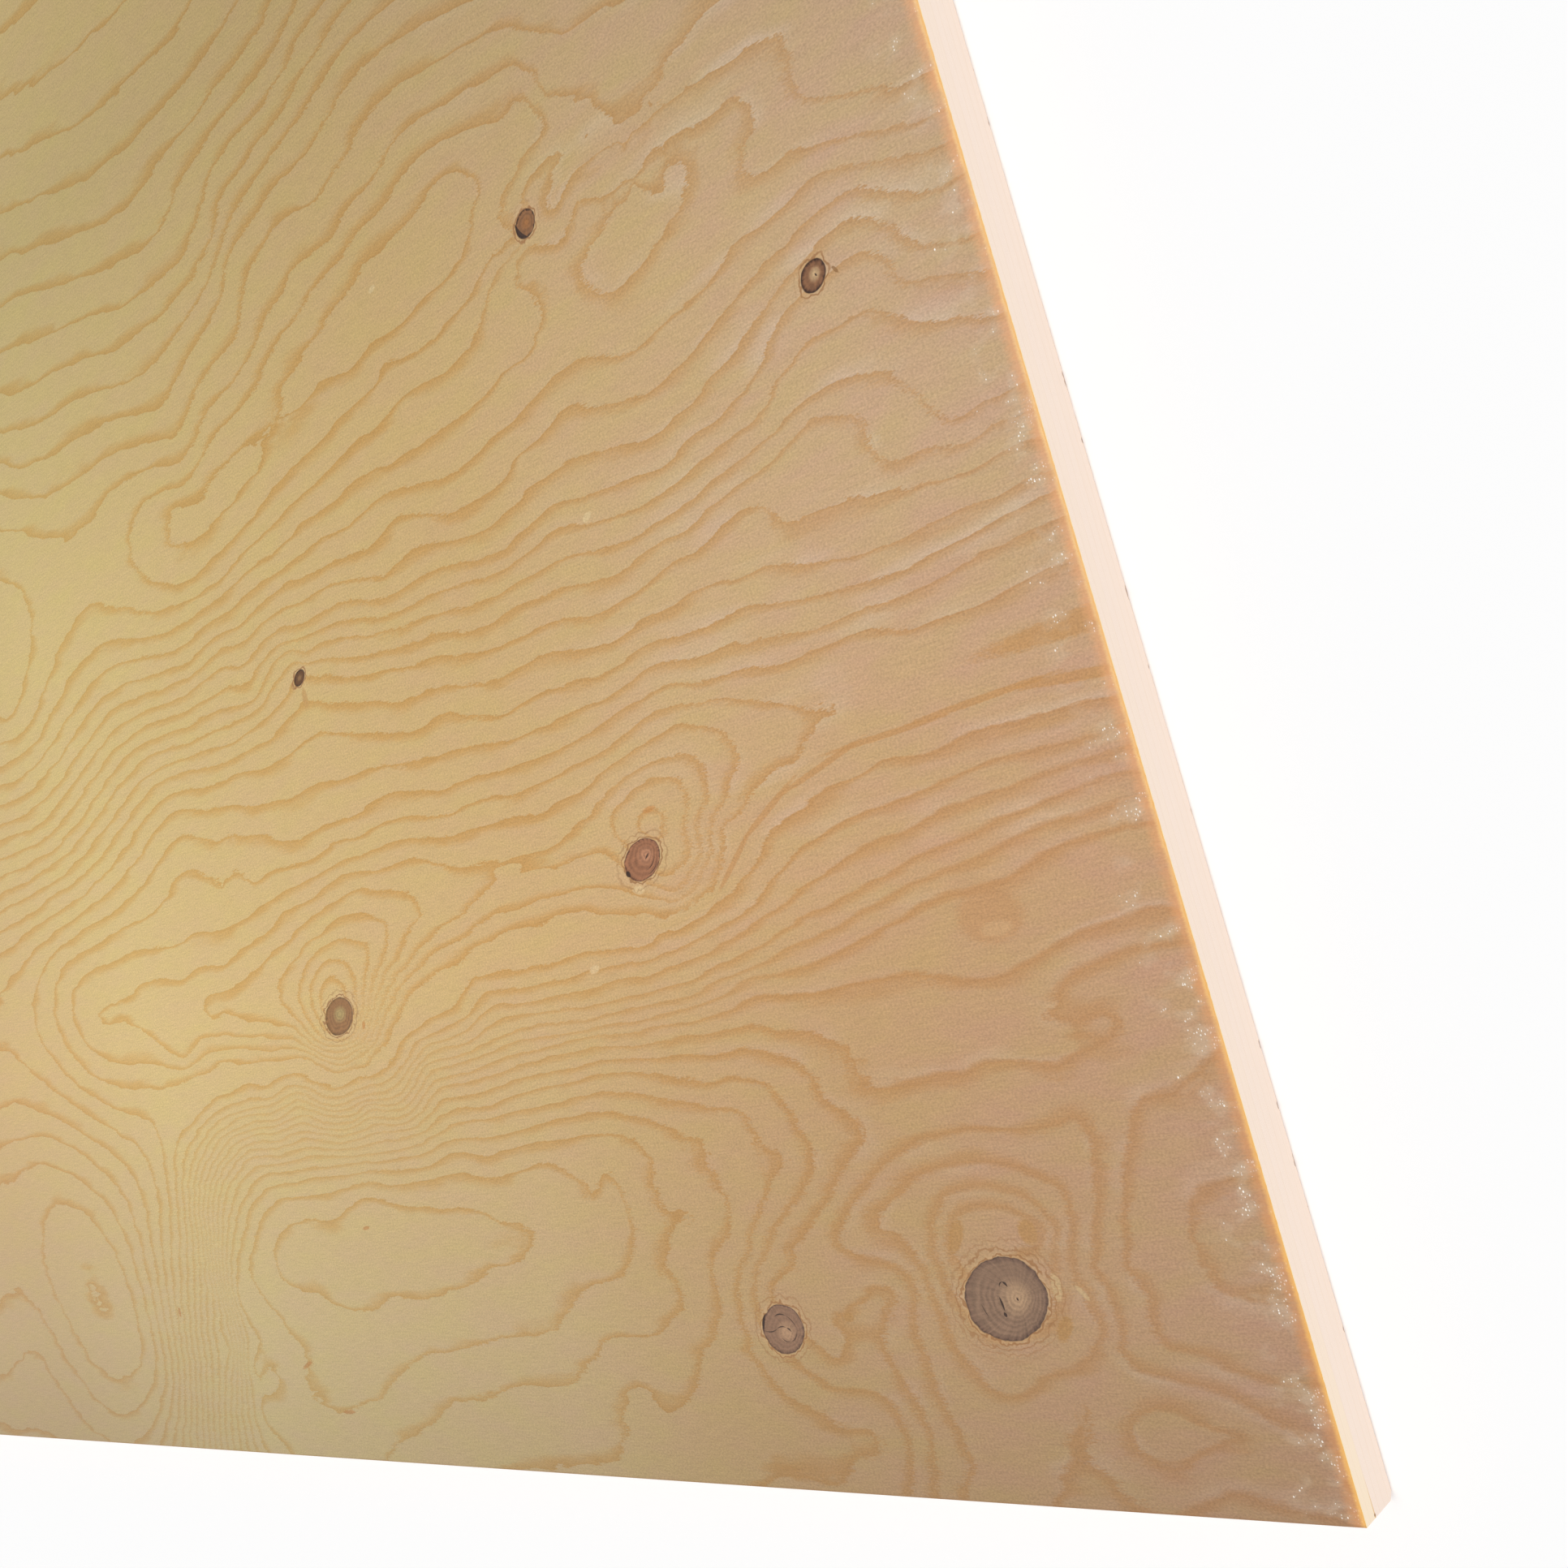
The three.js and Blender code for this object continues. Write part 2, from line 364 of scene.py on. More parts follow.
         (-211, 245.5), (-200, 248.8), (-190, 252), (-180, 253.2), (-170, 252.3), (-163, 251.5),
         (-159, 249), (-157.5, 246), (-158, 241), (-160.5, 235), (-165.6, 231.4), (-168.5, 229.5),
         (-168.7, 224), (-170.3, 219.5), (-174.3, 215.8), (-180, 211.6), (-189, 209)]),
    (14, [(-620, 235), (-508, 242), (-460, 242), (-420, 249), (-378, 253), (-278, 250),
         (-237, 249), (-200, 256), (-180, 260.5), (-165, 262), (-150, 258.5), (-142, 252.5),
         (-140.6, 248), (-143, 242), (-149, 237.5), (-152, 233.5), (-157, 230.8), (-162, 228),
         (-163.5, 222), (-168.5, 215.5), (-174.5, 210.5), (-180, 207.8), (-186, 206.3)]),
    (12, [(-208, 239.5), (-204, 243.2), (-198.4, 245), (-190, 247.2), (-180, 248.2),
         (-173.8, 246.8), (-169.4, 245), (-168.4, 240.2), (-170.4, 234.4), (-174, 230.5),
         (-173.5, 226), (-174, 222), (-182, 217)]),
    (15, [(-488, 272), (-460, 266), (-444, 265), (-460, 258), (-435, 257), (-400, 258),
         (-350, 261), (-300, 259), (-250, 258), (-200, 263), (-157, 268), (-130, 262.5),
         (-117, 258.5), (-103, 254.3), (-99, 250.5)]),
    (16, [(-480, 287), (-457, 280), (-420, 276), (-390, 268), (-350, 270), (-313, 271),
         (-290, 268), (-250, 267), (-200, 270), (-150, 273), (-120, 270.8), (-100, 270.2),
         (-92, 269.8), (-84, 270.4), (-73, 270.4), (-69, 268.8), (-64, 266.8), (-57, 266.6),
         (-50, 267), (-40, 267.3), (-30, 267.5), (-21, 268.6), (-15, 269.8), (0, 270)]),
    (15.4, [(-130, 228), (-100, 236), (-70, 237), (-40, 240), (-10, 238), (-60, 250), (-20, 255)]),
    (17, [(-600, 268), (-477, 298), (-447, 293), (-420, 287), (-350, 286), (-300, 280),
         (-250, 276), (-183, 280), (-120, 279.4), (-110, 278), (-100, 276.8), (-90, 276),
         (-70, 275.9), (-60, 276), (-50, 276.8), (-40, 278.6), (-30, 279.7), (-20, 280.6), (0, 281)]),
    (18, [(-472, 306), (-420, 304), (-370, 305), (-327, 299), (-283, 294), (-250, 286),
         (-167, 290), (-120, 289.6), (-110, 288.4), (-100, 286), (-90, 284.8), (-80, 284.2),
         (-70, 283.9), (-60, 283), (-50, 284), (-40, 285.1), (-30, 285.9), (-20, 286.8), (0, 288.5)]),
    (19, [(-468, 312), (-420, 309), (-373, 316), (-343, 314), (-300, 304), (-220, 300),
         (-183, 295), (-150, 299), (-120, 298.7), (-110, 299.2), (-100, 297.8), (-95, 296.4),
         (-90, 294.9), (-80, 292.7), (-75, 291.5), (-65, 291.6), (-58, 291), (-50, 291.3),
         (-40, 291.8), (-20, 292.6), (0, 293.8)]),
    (20, [(-600, 290), (-464, 319), (-400, 318), (-375, 324)]),
    (20, [(-335, 322), (-300, 317), (-220, 310), (-147, 312), (-120, 316.7), (-110, 318.5),
         (-105, 318.7), (-101, 317), (-101, 313.6), (-98, 311.5), (-95, 309.5), (-90, 308.6),
         (-80, 308.1), (-70, 307.8), (-65, 307.1), (-55, 306.2), (-50, 305.1), (-40, 304.1),
         (-20, 303.8), (0, 303)]),
    (21, [(-420, 323), (-387, 327), (-358, 336), (-340, 332), (-270, 322), (-200, 319),
         (-133, 320), (-120, 323.7), (-110, 325.3), (-100, 327.1), (-90, 329.2), (-80, 332.5),
         (-73, 334.2), (-66, 332.6), (-58, 331.5), (-56.5, 328), (-56.5, 322), (-54.5, 316),
         (-53.5, 312.8), (-45, 312.4), (-35, 311.8), (-15, 312.6), (0, 312)]),
    (22, [(-600, 303), (-458, 330), (-395, 329), (-355, 338), (-303, 331), (-220, 327),
         (-153, 325), (-120, 329.6), (-110, 330.9), (-100, 333), (-90, 336.2), (-80, 338.7),
         (-70, 339.6), (-56, 339.9), (-46, 337.8), (-41, 335), (-38, 331), (-34, 325.5),
         (-31, 320.5), (-27, 316.5), (-20, 316.8), (-10, 317.9), (0, 318.4)]),
    (23, [(-453, 337), (-403, 336), (-356, 343), (-303, 338), (-240, 333), (-187, 337),
         (-150, 333), (-120, 337.8), (-110, 338.5), (-103, 340.4), (-95, 342.2), (-90, 344.8),
         (-85, 347.6), (-80, 350.7), (-74, 353), (-68, 356), (-58, 356), (-48, 355.5), (-38, 352),
         (-30, 347), (-22, 344.3), (-12, 342), (0, 338.5)]),
    (24, [(-600, 318), (-451, 343), (-410, 347), (-390, 345), (-343, 348), (-290, 342),
         (-220, 339), (-178, 344), (-133, 342), (-120, 345), (-110, 345.9), (-100, 349.9),
         (-92.7, 351.5), (-88, 356), (-83.6, 358.7), (-80, 361.5), (-76, 365.3)]),
    (24, [(-36, 369.5), (-32, 365.5), (-31, 361), (-28, 357.3), (-18, 354.5), (-13, 354),
         (-7, 351), (0, 350)]),
    (25, [(-447, 349), (-378, 355), (-330, 356), (-287, 350), (-220, 349), (-120, 355),
         (-110, 357.8), (-101.8, 361), (-95.5, 362.8), (-90, 365.5), (-85.5, 367.8), (-80, 369)]),
    (25, [(-29, 373.6), (-25.5, 370), (-22, 366.4), (-17, 363.2), (-8, 360.5), (0, 360)]),
    (26, [(-600, 335), (-443, 355), (-400, 359), (-350, 365), (-273, 368), (-243, 359),
         (-220, 360), (-172, 372), (-147, 365), (-100, 373), (-90, 376.6), (-80, 380.2),
         (-70, 383.4), (-62, 385.3), (-50, 388), (-37.5, 387.8), (-30, 385), (-24, 382),
         (-18, 379.8), (0, 376.5)]),
    (27, [(-439, 362), (-350, 371), (-270, 377), (-200, 378), (-157, 385), (-127, 379),
         (-92.5, 386), (-87.5, 390), (-74, 393), (-64, 394), (-50, 396), (-40, 395), (-30, 392.5),
         (-20, 389), (0, 386)]),
    (28, [(-600, 352), (-434, 371), (-350, 379), (-270, 385), (-205, 391), (-197.5, 393),
         (-182.5, 395), (-175, 399), (-169, 402.5), (-172, 410), (-169, 412.5), (-174, 417.5),
         (-176, 424), (-171, 427)]),
    (27.7, [(-160, 412), (-150, 395), (-115, 397), (-86, 408), (-84, 420)]),
    (28, [(-150, 408), (-145, 414), (-137.5, 418), (-127.5, 421), (-115, 424), (-101, 424),
         (-94, 422.5), (-92, 419), (-95, 414), (-102.5, 408), (-112.5, 405), (-122.5, 401),
         (-130, 399), (-137.5, 397), (-139, 400), (-145, 405)]),
    (28.5, [(-120, 411)]),
    (27.75, [(-134, 424.5), (-121, 426.5), (-107, 427)]),
    (29, [(-164, 443), (-158, 446), (-151, 448), (-145, 448.5), (-141.5, 446), (-143, 443),
         (-148, 440), (-153, 438)]),
    (28.7, [(-152, 444)]),
    (29.35, [(-142, 438.5), (-150, 435.5)]),
    (29, [(-428, 379), (-373, 385), (-330, 393), (-282, 400), (-237, 405), (-205, 410),
         (-197.5, 415), (-192.5, 421), (-185, 425), (-175, 428)]),
    (30, [(-600, 372), (-424, 386), (-350, 398), (-300, 408), (-253, 419), (-205, 422.5),
         (-192.5, 426), (-180, 429), (-172, 429)]),
    (30.6, [(-600, 395)]),
    (31, [(-413, 400), (-387, 401), (-370, 405), (-350, 410), (-335, 419), (-353, 421),
         (-375, 418.5), (-407, 416)]),
    (31.2, [(-385, 409), (-368, 411.5)]),
    (31, [(-250, 455), (-262, 450.5), (-276, 446), (-290, 441.5), (-303, 438.5), (-313, 436),
         (-290, 426), (-270, 424.5), (-250, 427), (-205, 434), (-197.5, 437.5), (-190, 445),
         (-184, 451), (-182.5, 457.5), (-187.5, 460), (-195, 463), (-205, 462.5)]),
    (31.3, [(-285, 433), (-265, 438)]),
    (30, [(-560, 425), (-403, 422), (-350, 435), (-300, 452), (-250, 465), (-205, 474),
         (-189, 472), (-170, 469), (-160, 467.5), (-150, 469), (-146, 462.5), (-145, 456),
         (-150, 453.6), (-155, 452.5), (-164, 449), (-174, 444), (-180, 439), (-182, 434),
         (-174, 433)]),
    (29, [(-540, 445), (-398, 431), (-350, 446), (-303, 463), (-264, 470), (-232, 478),
         (-187, 484), (-147, 477), (-142, 465), (-135, 462), (-127.5, 459), (-124, 456),
         (-127.5, 451), (-129, 445), (-114, 442), (-105, 443), (-95, 448), (-87.5, 451),
         (-80, 452.5)]),
    (29, [(-150, 432.5), (-142.5, 435), (-127.5, 437), (-115, 434), (-105, 436), (-92.5, 439),
         (-80, 439.5), (-67.5, 439), (-60, 440.6), (-55, 439)]),
    (28, [(-142.5, 431), (-137.5, 429), (-127.5, 427), (-115, 429), (-105, 431), (-92.5, 432),
         (-70, 431), (-62.5, 425), (-65, 420), (-70, 416), (-75.6, 411), (-72.5, 407.5),
         (-65, 405), (-45, 405.6), (-35, 402.5), (0, 395)]),
    (28, [(-392, 442), (-333, 462), (-322, 476), (-293, 487), (-232, 497), (-167, 495)]),
    (29, [(-47, 435), (-45, 431), (-47.5, 422.5), (-42.5, 417.5), (-35, 414), (0, 405)]),
    (27, [(-520, 470), (-382, 462), (-353, 472), (-327, 488), (-287, 500), (-233, 512), (-200, 513)]),
    (25, [(-500, 500), (-362, 490), (-333, 500), (-300, 515), (-253, 527), (-237, 531)]),
    (24, [(-353, 502), (-317, 523), (-252, 537)]),
    (23, [(-480, 535), (-343, 527), (-312, 534), (-263, 542)]),
    (22, [(-327, 542), (-280, 550)]),
    (21, [(-470, 570)]),
]

# Beyond the drawn corner the field only has a loose course
FAR_RINGS = [
    (19, [(-640, 40), (-700, 0), (-780, 50)]),
    (21, [(-700, 130), (-860, 110)]),
    (17, [(-760, 225), (-900, 205)]),
    (21, [(-760, 285), (-920, 275)]),
    (25, [(-760, 330), (-920, 335)]),
    (28.5, [(-760, 375), (-920, 390)]),
    (30, [(-740, 430), (-900, 450)]),
    (27, [(-720, 490), (-880, 515)]),
    (22, [(-690, 560), (-860, 590)]),
    (18, [(-520, 645), (-800, 660), (-300, 630), (0, 570)]),
    (13, [(-180, 760), (-480, 770), (-820, 760)]),
    (9, [(0, 900), (-300, 905), (-640, 900)]),
    (6, [(-100, 1010), (-420, 1000), (-760, 960)]),
    (10, [(0, 1220), (-400, 1180), (-820, 1120)]),
    (13, [(-1040, 60), (-1180, 220)]),
    (20, [(-1120, 380), (-1300, 400)]),
    (23, [(-1150, 520), (-1350, 520)]),
    (15, [(-1100, 680), (-1380, 690)]),
    (8, [(-1080, 860), (-1340, 840)]),
    (5, [(-1120, 990), (-1420, 960)]),
    (10, [(-1200, 1180), (-1600, 1200)]),
    (9, [(-1420, 30), (-1560, 180)]),
    (16, [(-1580, 330), (-1720, 360)]),
    (20, [(-1640, 500), (-1860, 520)]),
    (14, [(-1680, 680), (-1950, 690)]),
    (7, [(-1720, 860), (-2050, 850)]),
    (8, [(-1800, 1080), (-2200, 1120)]),
    (5, [(-1860, 60), (-2040, 150)]),
    (12, [(-2050, 330), (-2250, 360)]),
    (17, [(-2150, 520), (-2430, 540)]),
    (11, [(-2200, 700), (-2430, 720)]),
    (5, [(-2320, 900), (-2430, 1000)]),
    (4, [(-2300, 80), (-2430, 20)]),
]
BACK_RINGS = [
    (2, [(0, 40), (-700, 20), (-1500, 60), (-2440, 10)]),
    (9, [(0, 190), (-400, 230), (-900, 170), (-1500, 260), (-2100, 180), (-2440, 210)]),
    (18, [(0, 400), (-520, 440), (-1100, 380), (-1700, 470), (-2440, 420)]),
    (25, [(0, 590), (-700, 600), (-1300, 560), (-1900, 640), (-2440, 590)]),
    (20, [(0, 760), (-600, 790), (-1200, 740), (-1800, 820), (-2440, 760)]),
    (11, [(0, 950), (-500, 990), (-1100, 930), (-1900, 1010), (-2440, 940)]),
    (3, [(0, 1180), (-800, 1200), (-1600, 1170), (-2440, 1210)]),
]


class RingField:
    """A smooth sheet of ring numbers through points, as a thin plate would bend through them."""

    unit = 100.0  # mm, which keeps the sums near one
    batch = 5000  # places worked out at a time

    def __init__(self, runs, slack):
        self.points = np.array([point for _, run in runs for point in run]) / self.unit
        numbers = np.array([ring for ring, run in runs for _ in run], float)
        count = len(numbers)
        flat = np.column_stack([np.ones(count), self.points])
        sums = np.zeros((count + 3, count + 3))
        sums[:count, :count] = self.bend(self.points) + slack * np.eye(count)
        sums[:count, count:] = flat
        sums[count:, :count] = flat.T
        self.weights = np.linalg.solve(sums, np.append(numbers, [0.0, 0.0, 0.0]))

    def bend(self, places):
        """How each known point bends the sheet at each of some places."""
        square = ((places[:, None, :] - self.points[None, :, :]) ** 2).sum(axis=2)
        return 0.25 * square * np.log(square + 1e-12)

    def at(self, x, y):
        """The ring numbers at places given in mm from the near corner."""
        places = np.column_stack([x, y]) / self.unit
        numbers = []
        for part in np.array_split(places, max(1, len(places) // self.batch)):
            flat = np.column_stack([np.ones(len(part)), part])
            numbers.append(self.bend(part) @ self.weights[:-3] + flat @ self.weights[-3:])
        return np.concatenate(numbers)


humps = 150  # on each face
hump_length = (60.0, 190.0)  # mm from a hump's middle to where it fades, at least and at most
hump_width = (10.0, 32.0)
hump_height = 1.1  # rings, up or down, at most


def wander(x, y, seed):
    """Long shallow humps and hollows in a log's rings, which make eyes and islands."""
    draw = np.random.default_rng(seed)
    total = np.zeros(len(x))
    for _ in range(humps):
        mid_x, mid_y = draw.uniform(-length, 0.0), draw.uniform(0.0, width)
        long_way, short_way = draw.uniform(*hump_length), draw.uniform(*hump_width)
        height = draw.uniform(-hump_height, hump_height)
        total += height * np.exp(-((x - mid_x) / long_way) ** 2 - ((y - mid_y) / short_way) ** 2)
    return total


knot_dip = 5.0  # rings, how far they are carried aside at a knot
dip_along = 5.0  # half widths of the knot over which that fades, along the grain and across it
dip_across = 2.4


def round_knots(x, y, knots):
    """How the rings part round each knot and close behind it."""
    total = np.zeros(len(x))
    for knot in knots:
        u, v = in_ellipse(x, y, knot)
        total -= knot_dip * np.exp(-(u / dip_along) ** 2 - (v / dip_across) ** 2)
    return total


def smooth(low_end, high_end, value):
    """0 at one end of a range and 1 at the other, eased between them."""
    share = np.clip((value - low_end) / (high_end - low_end), 0.0, 1.0)
    return share * share * (3.0 - 2.0 * share)


good_rings = RingField(RINGS + FAR_RINGS, slack=0.0005)
back_rings = RingField(BACK_RINGS, slack=0.001)
drawn_knots = 7  # the first of the good face's knots have their loops among the drawn rings
drawn_length = 600.0  # mm along the side, and then along the end, that the drawn rings reach
drawn_width = 560.0
loose_length = 760.0  # and where the rings beyond them wander in full
loose_width = 680.0


def good_face_rings(x, y):
    """The good face's ring numbers: as drawn near the corner, and wandering beyond."""
    beyond = np.maximum(smooth(-drawn_length, -loose_length, x), smooth(drawn_width, loose_width, y))
    loose = wander(x, y, seed=3) + round_knots(x, y, GOOD_KNOTS[drawn_knots:])
    return good_rings.at(x, y) + beyond * loose


def back_face_rings(x, y):
    """The back's ring numbers, which wander all over."""
    return back_rings.at(x, y) + wander(x, y, seed=8) + round_knots(x, y, BACK_KNOTS)


# The skin as a mesh object that takes the CAD solid's place, with the two figures and the
# knots' places kept on its vertices
knot_margin = 10.0  # mm past its edge over which the mesh knows its nearest knot
nowhere = 20.0  # stands for anywhere past that margin, in half widths

sheet_mesh = bpy.data.meshes.new("plywood_sheet_skin")
board.to_mesh(sheet_mesh)
board.free()
sheet = bpy.data.objects.new("plywood_sheet_skin", sheet_mesh)
bpy.context.scene.collection.objects.link(sheet)
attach(sheet, "root")
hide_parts("plywood_sheet")

spots = np.zeros(3 * len(sheet_mesh.vertices))
sheet_mesh.vertices.foreach_get("co", spots)
spots = spots.reshape(-1, 3)
x = (spots[:, 0] - near.x) / MM
y = (spots[:, 1] - near.y) / MM
upper = spots[:, 2] > (high.z + low.z) / 2

layers = {name: np.zeros((len(x), 3)) for name in ("ring", "knot", "knot_look", "pith")}
good_side = (upper, high.z, -1.0, good_face_rings, GOOD_KNOTS)
back_side = (~upper, low.z, 1.0, back_face_rings, BACK_KNOTS)
for side, level, inward, rings_at, knots in (good_side, back_side):
    sx, sy = x[side], y[side]
    here = rings_at(sx, sy)
    # the ring number, and how much it grows in one millimetre along and across
    slopes = rings_at(sx + 1.0, sy) - here, rings_at(sx, sy + 1.0) - here
    layers["ring"][side] = np.column_stack([here, *slopes])

    places = np.array([in_ellipse(sx, sy, knot) for knot in knots])
    apart = [np.hypot(sx - knot[0], sy - knot[1]) for knot in knots]
    nearest = np.argmin(np.array(apart), axis=0)
    every = np.arange(len(sx))
    u, v = places[nearest, 0, every], places[nearest, 1, every]
    rows = np.array(knots)[nearest]
    size = np.sqrt(rows[:, 2] * rows[:, 3])
    past = (np.hypot(u, v) - 1.0) * size > knot_margin
    layers["knot"][side] = np.column_stack([u, v, nowhere * past])
    layers["knot_look"][side] = np.column_stack([size, rows[:, 6], rows[:, 5]])
    layers["pith"][side, :2] = rows[:, 7:9]
    on_face = np.abs(spots[side, 2] - level) < hair
    spots[side, 2] += inward * knot_sink * MM * smooth(*sink_slope, np.hypot(u, v)) * on_face
sheet_mesh.vertices.foreach_set("co", spots.ravel())
for name, values in layers.items():
    layer = sheet_mesh.attributes.new(name, "FLOAT_VECTOR", "POINT")
    layer.data.foreach_set("vector", values.astype(np.float32).ravel())


# ---------------------------------------------------------------------------------------
# The veneer faces' finish: rotary-cut spruce, sanded and left bare. Early wood is honey to
# pinkish tan and matt. Late wood is a thin orange-brown line with small torn teeth where a
# ring ends, and a paler band that fades back from it.


def linear(code):
    """An sRGB hex colour as linear light."""
    shares = [int(code[place:place + 2], 16) / 255 for place in (1, 3, 5)]
    return [*[s / 12.92 if s <= 0.04045 else ((s + 0.055) / 1.055) ** 2.4 for s in shares], 1.0]


def add(tree, kind, inputs=(), out=0, **settings):
    """Adds a shader node with its own settings, and its inputs as values or links."""
    made = tree.nodes.new("ShaderNode" + kind)
    for name, value in settings.items():
        setattr(made, name, value)
    for socket, value in dict(inputs).items():
        if isinstance(value, bpy.types.NodeSocket):
            tree.links.new(value, made.inputs[socket])
        else:
            made.inputs[socket].default_value = value
    return made.outputs[out]


smoothly = {"interpolation_type": "SMOOTHSTEP"}  # for a Map Range node
in_colour = {"data_type": "RGBA", "out": 2}  # for a Mix node of two colours
as_factor = {"blend_type": "MULTIPLY", **in_colour}  # for one that multiplies them

# The sanded face's patterns: mm along the grain, mm across it, and how much finer detail
GRAIN = {
    "fibres": (2.6, 0.5, 2.0),  # bundles of fibres that end unevenly
    "waves": (26.0, 7.0, 2.0),  # how a ring's edge sways
    "patches": (55.0, 12.0, 1.0),  # where the late wood is thick or thin
    "clouds": (34.0, 11.0, 2.0),  # yellower and pinker early wood
    "specks": (0.9, 0.6, 1.0),  # pores, drawn coarser than they are
    "streaks": (9.0, 0.7, 2.0),  # single fibres, drawn coarser than they are
}
tooth_along = 1.8  # mm, how far fibre bundles carry a ring's edge along the grain
tooth_across = 0.3
sway_across = 0.8
line_width = 1.1  # mm of the darkest late wood at a ring's sharp side
band_thin = 2.0  # mm over which the late wood fades back from it, where it is thin
band_thick = 8.5  # and where it is thick
crisp_edge = 0.15  # mm over which it ends there
soft_edge = 2.4  # mm over which it ends near the corner, where sanding has smeared it
fibre_height = 0.03  # mm, how far the sanded fibres stand proud
sanded_roughness = 0.66
knot_roughness = 0.52  # a knot is denser, and takes a faint polish
late_smoother = 0.08  # how much less rough late wood is
knot_ring = 1.7  # mm between a knot's own rings, drawn coarser than they are
skirt_ring = 2.5  # mm between the rings squeezed round the outside of a knot
knot_bulge = 5.0  # mm along a knot's edge over which it swells and shrinks
knot_wobble = 2.4  # how far that carries the rings in and round it, where 2 pi is a whole ring
ray_width = 1.3  # mm between the rays that cross a knot's rings, drawn coarser than they are
ray_fray = 0.35  # mm, how unevenly the rays end at the rim


def from_corner(tree):
    """Millimetres from the good face's near corner: x falls along the side, y rises."""
    place = add(tree, "TexCoord", out="Object")
    place = add(tree, "VectorMath", {0: place, 1: near}, operation="SUBTRACT")
    return add(tree, "VectorMath", {0: place, 3: 1 / MM}, operation="SCALE")


def grain_patterns(tree, place):
    """Each of the face's patterns, from about -1 to 1."""
    patterns = {}
    for name, (along, across, detail) in GRAIN.items():
        drawn = add(tree, "VectorMath", {0: place, 1: (1 / along, 1 / across, 0)}, operation="MULTIPLY")
        drawn = add(tree, "TexNoise", {0: drawn, 2: 1.0, 3: detail, 4: 0.6}, noise_dimensions="2D")
        patterns[name] = add(tree, "MapRange", {0: drawn, 1: 0.25, 2: 0.75, 3: -1, 4: 1}, clamp=False)
    return patterns


def late_wood(tree, grain, loose, soft):
    """How far a point is late wood: the line, the band behind it, and the wood just past it, which takes a
    painted pale sheen.

    Loose is how many rings the waves carry a line, and soft is 1 where lines are blurred.
    """
    ring = add(tree, "Attribute", out="Vector", attribute_name="ring")
    ring = add(tree, "SeparateXYZ", {0: ring}).node.outputs
    slope = add(tree, "CombineXYZ", {0: ring[1], 1: ring[2]})
    steep = add(tree, "VectorMath", {0: slope}, out=1, operation="LENGTH")
    along = add(tree, "Math", {0: grain["fibres"], 1: tooth_along}, operation="MULTIPLY")
    across = add(tree, "Math", {0: grain["fibres"], 1: tooth_across}, operation="MULTIPLY")
    across = add(tree, "Math", {0: grain["waves"], 1: sway_across, 2: across}, operation="MULTIPLY_ADD")
    number = add(tree, "Math", {0: ring[1], 1: along, 2: ring[0]}, operation="MULTIPLY_ADD")
    number = add(tree, "Math", {0: steep, 1: across, 2: number}, operation="MULTIPLY_ADD")
    number = add(tree, "Math", {0: grain["waves"], 1: loose, 2: number}, operation="MULTIPLY_ADD")

    # Millimetres to the whole number ahead, where the late wood ends, and from the one behind
    share = add(tree, "Math", {0: number}, operation="FRACT")
    whole = add(tree, "Math", {0: number}, operation="FLOOR")
    least = add(tree, "Math", {0: steep, 1: 0.02}, operation="MAXIMUM")
    before = add(tree, "Math", {0: 1.0, 1: share}, operation="SUBTRACT")
    before = add(tree, "Math", {0: before, 1: least}, operation="DIVIDE")
    after = add(tree, "Math", {0: share, 1: least}, operation="DIVIDE")
    blur = add(tree, "MapRange", {0: soft, 1: 0, 2: 1, 3: crisp_edge, 4: soft_edge})
    past = add(tree, "MapRange", {0: after, 1: 0, 2: blur, 3: 1, 4: 0}, **smoothly)

    thick = add(tree, "MapRange", {0: grain["patches"], 1: -0.7, 2: 0.9, 3: 0, 4: 1})
    line = add(tree, "MapRange", {0: before, 1: 0.2, 2: line_width, 3: 1, 4: 0}, **smoothly)
    line = add(tree, "Math", {0: line, 1: past}, operation="MAXIMUM")
    tone = add(tree, "TexWhiteNoise", {1: whole}, noise_dimensions="1D")
    tone = add(tree, "MapRange", {0: tone, 1: 0, 2: 1, 3: 0.7, 4: 1})
    faint = add(tree, "MapRange", {0: thick, 1: 0, 2: 1, 3: 0.6, 4: 1})
    worn = add(tree, "MapRange", {0: soft, 1: 0, 2: 1, 3: 1, 4: 0.5})
    crowded = add(tree, "MapRange", {0: steep, 1: 0.1, 2: 0.3, 3: 1, 4: 0.45})
    for less in (tone, faint, worn, crowded):
        line = add(tree, "Math", {0: line, 1: less}, operation="MULTIPLY")
    reach = add(tree, "MapRange", {0: thick, 1: 0, 2: 1, 3: band_thin, 4: band_thick})
    smeared = add(tree, "MapRange", {0: soft, 1: 0, 2: 1, 3: 1, 4: 1.15})
    reach = add(tree, "Math", {0: reach, 1: smeared}, operation="MULTIPLY")
    band = add(tree, "MapRange", {0: before, 1: 0.3, 2: reach, 3: 1, 4: 0}, **smoothly)
    late = add(tree, "MapRange", {0: share, 1: 0.4, 2: 0.85, 3: 0, 4: 1}, **smoothly)
    band = add(tree, "Math", {0: band, 1: late}, operation="MULTIPLY")
    band = add(tree, "Math", {0: band, 1: past}, operation="MAXIMUM")
    band = add(tree, "Math", {0: band, 1: crowded}, operation="MULTIPLY")
    # the wood just past a line, where a pale sheen is painted
    sheen_past_line = add(tree, "MapRange", {0: after, 1: 0, 2: 6, 3: 1, 4: 0})
    return line, band, sheen_past_line


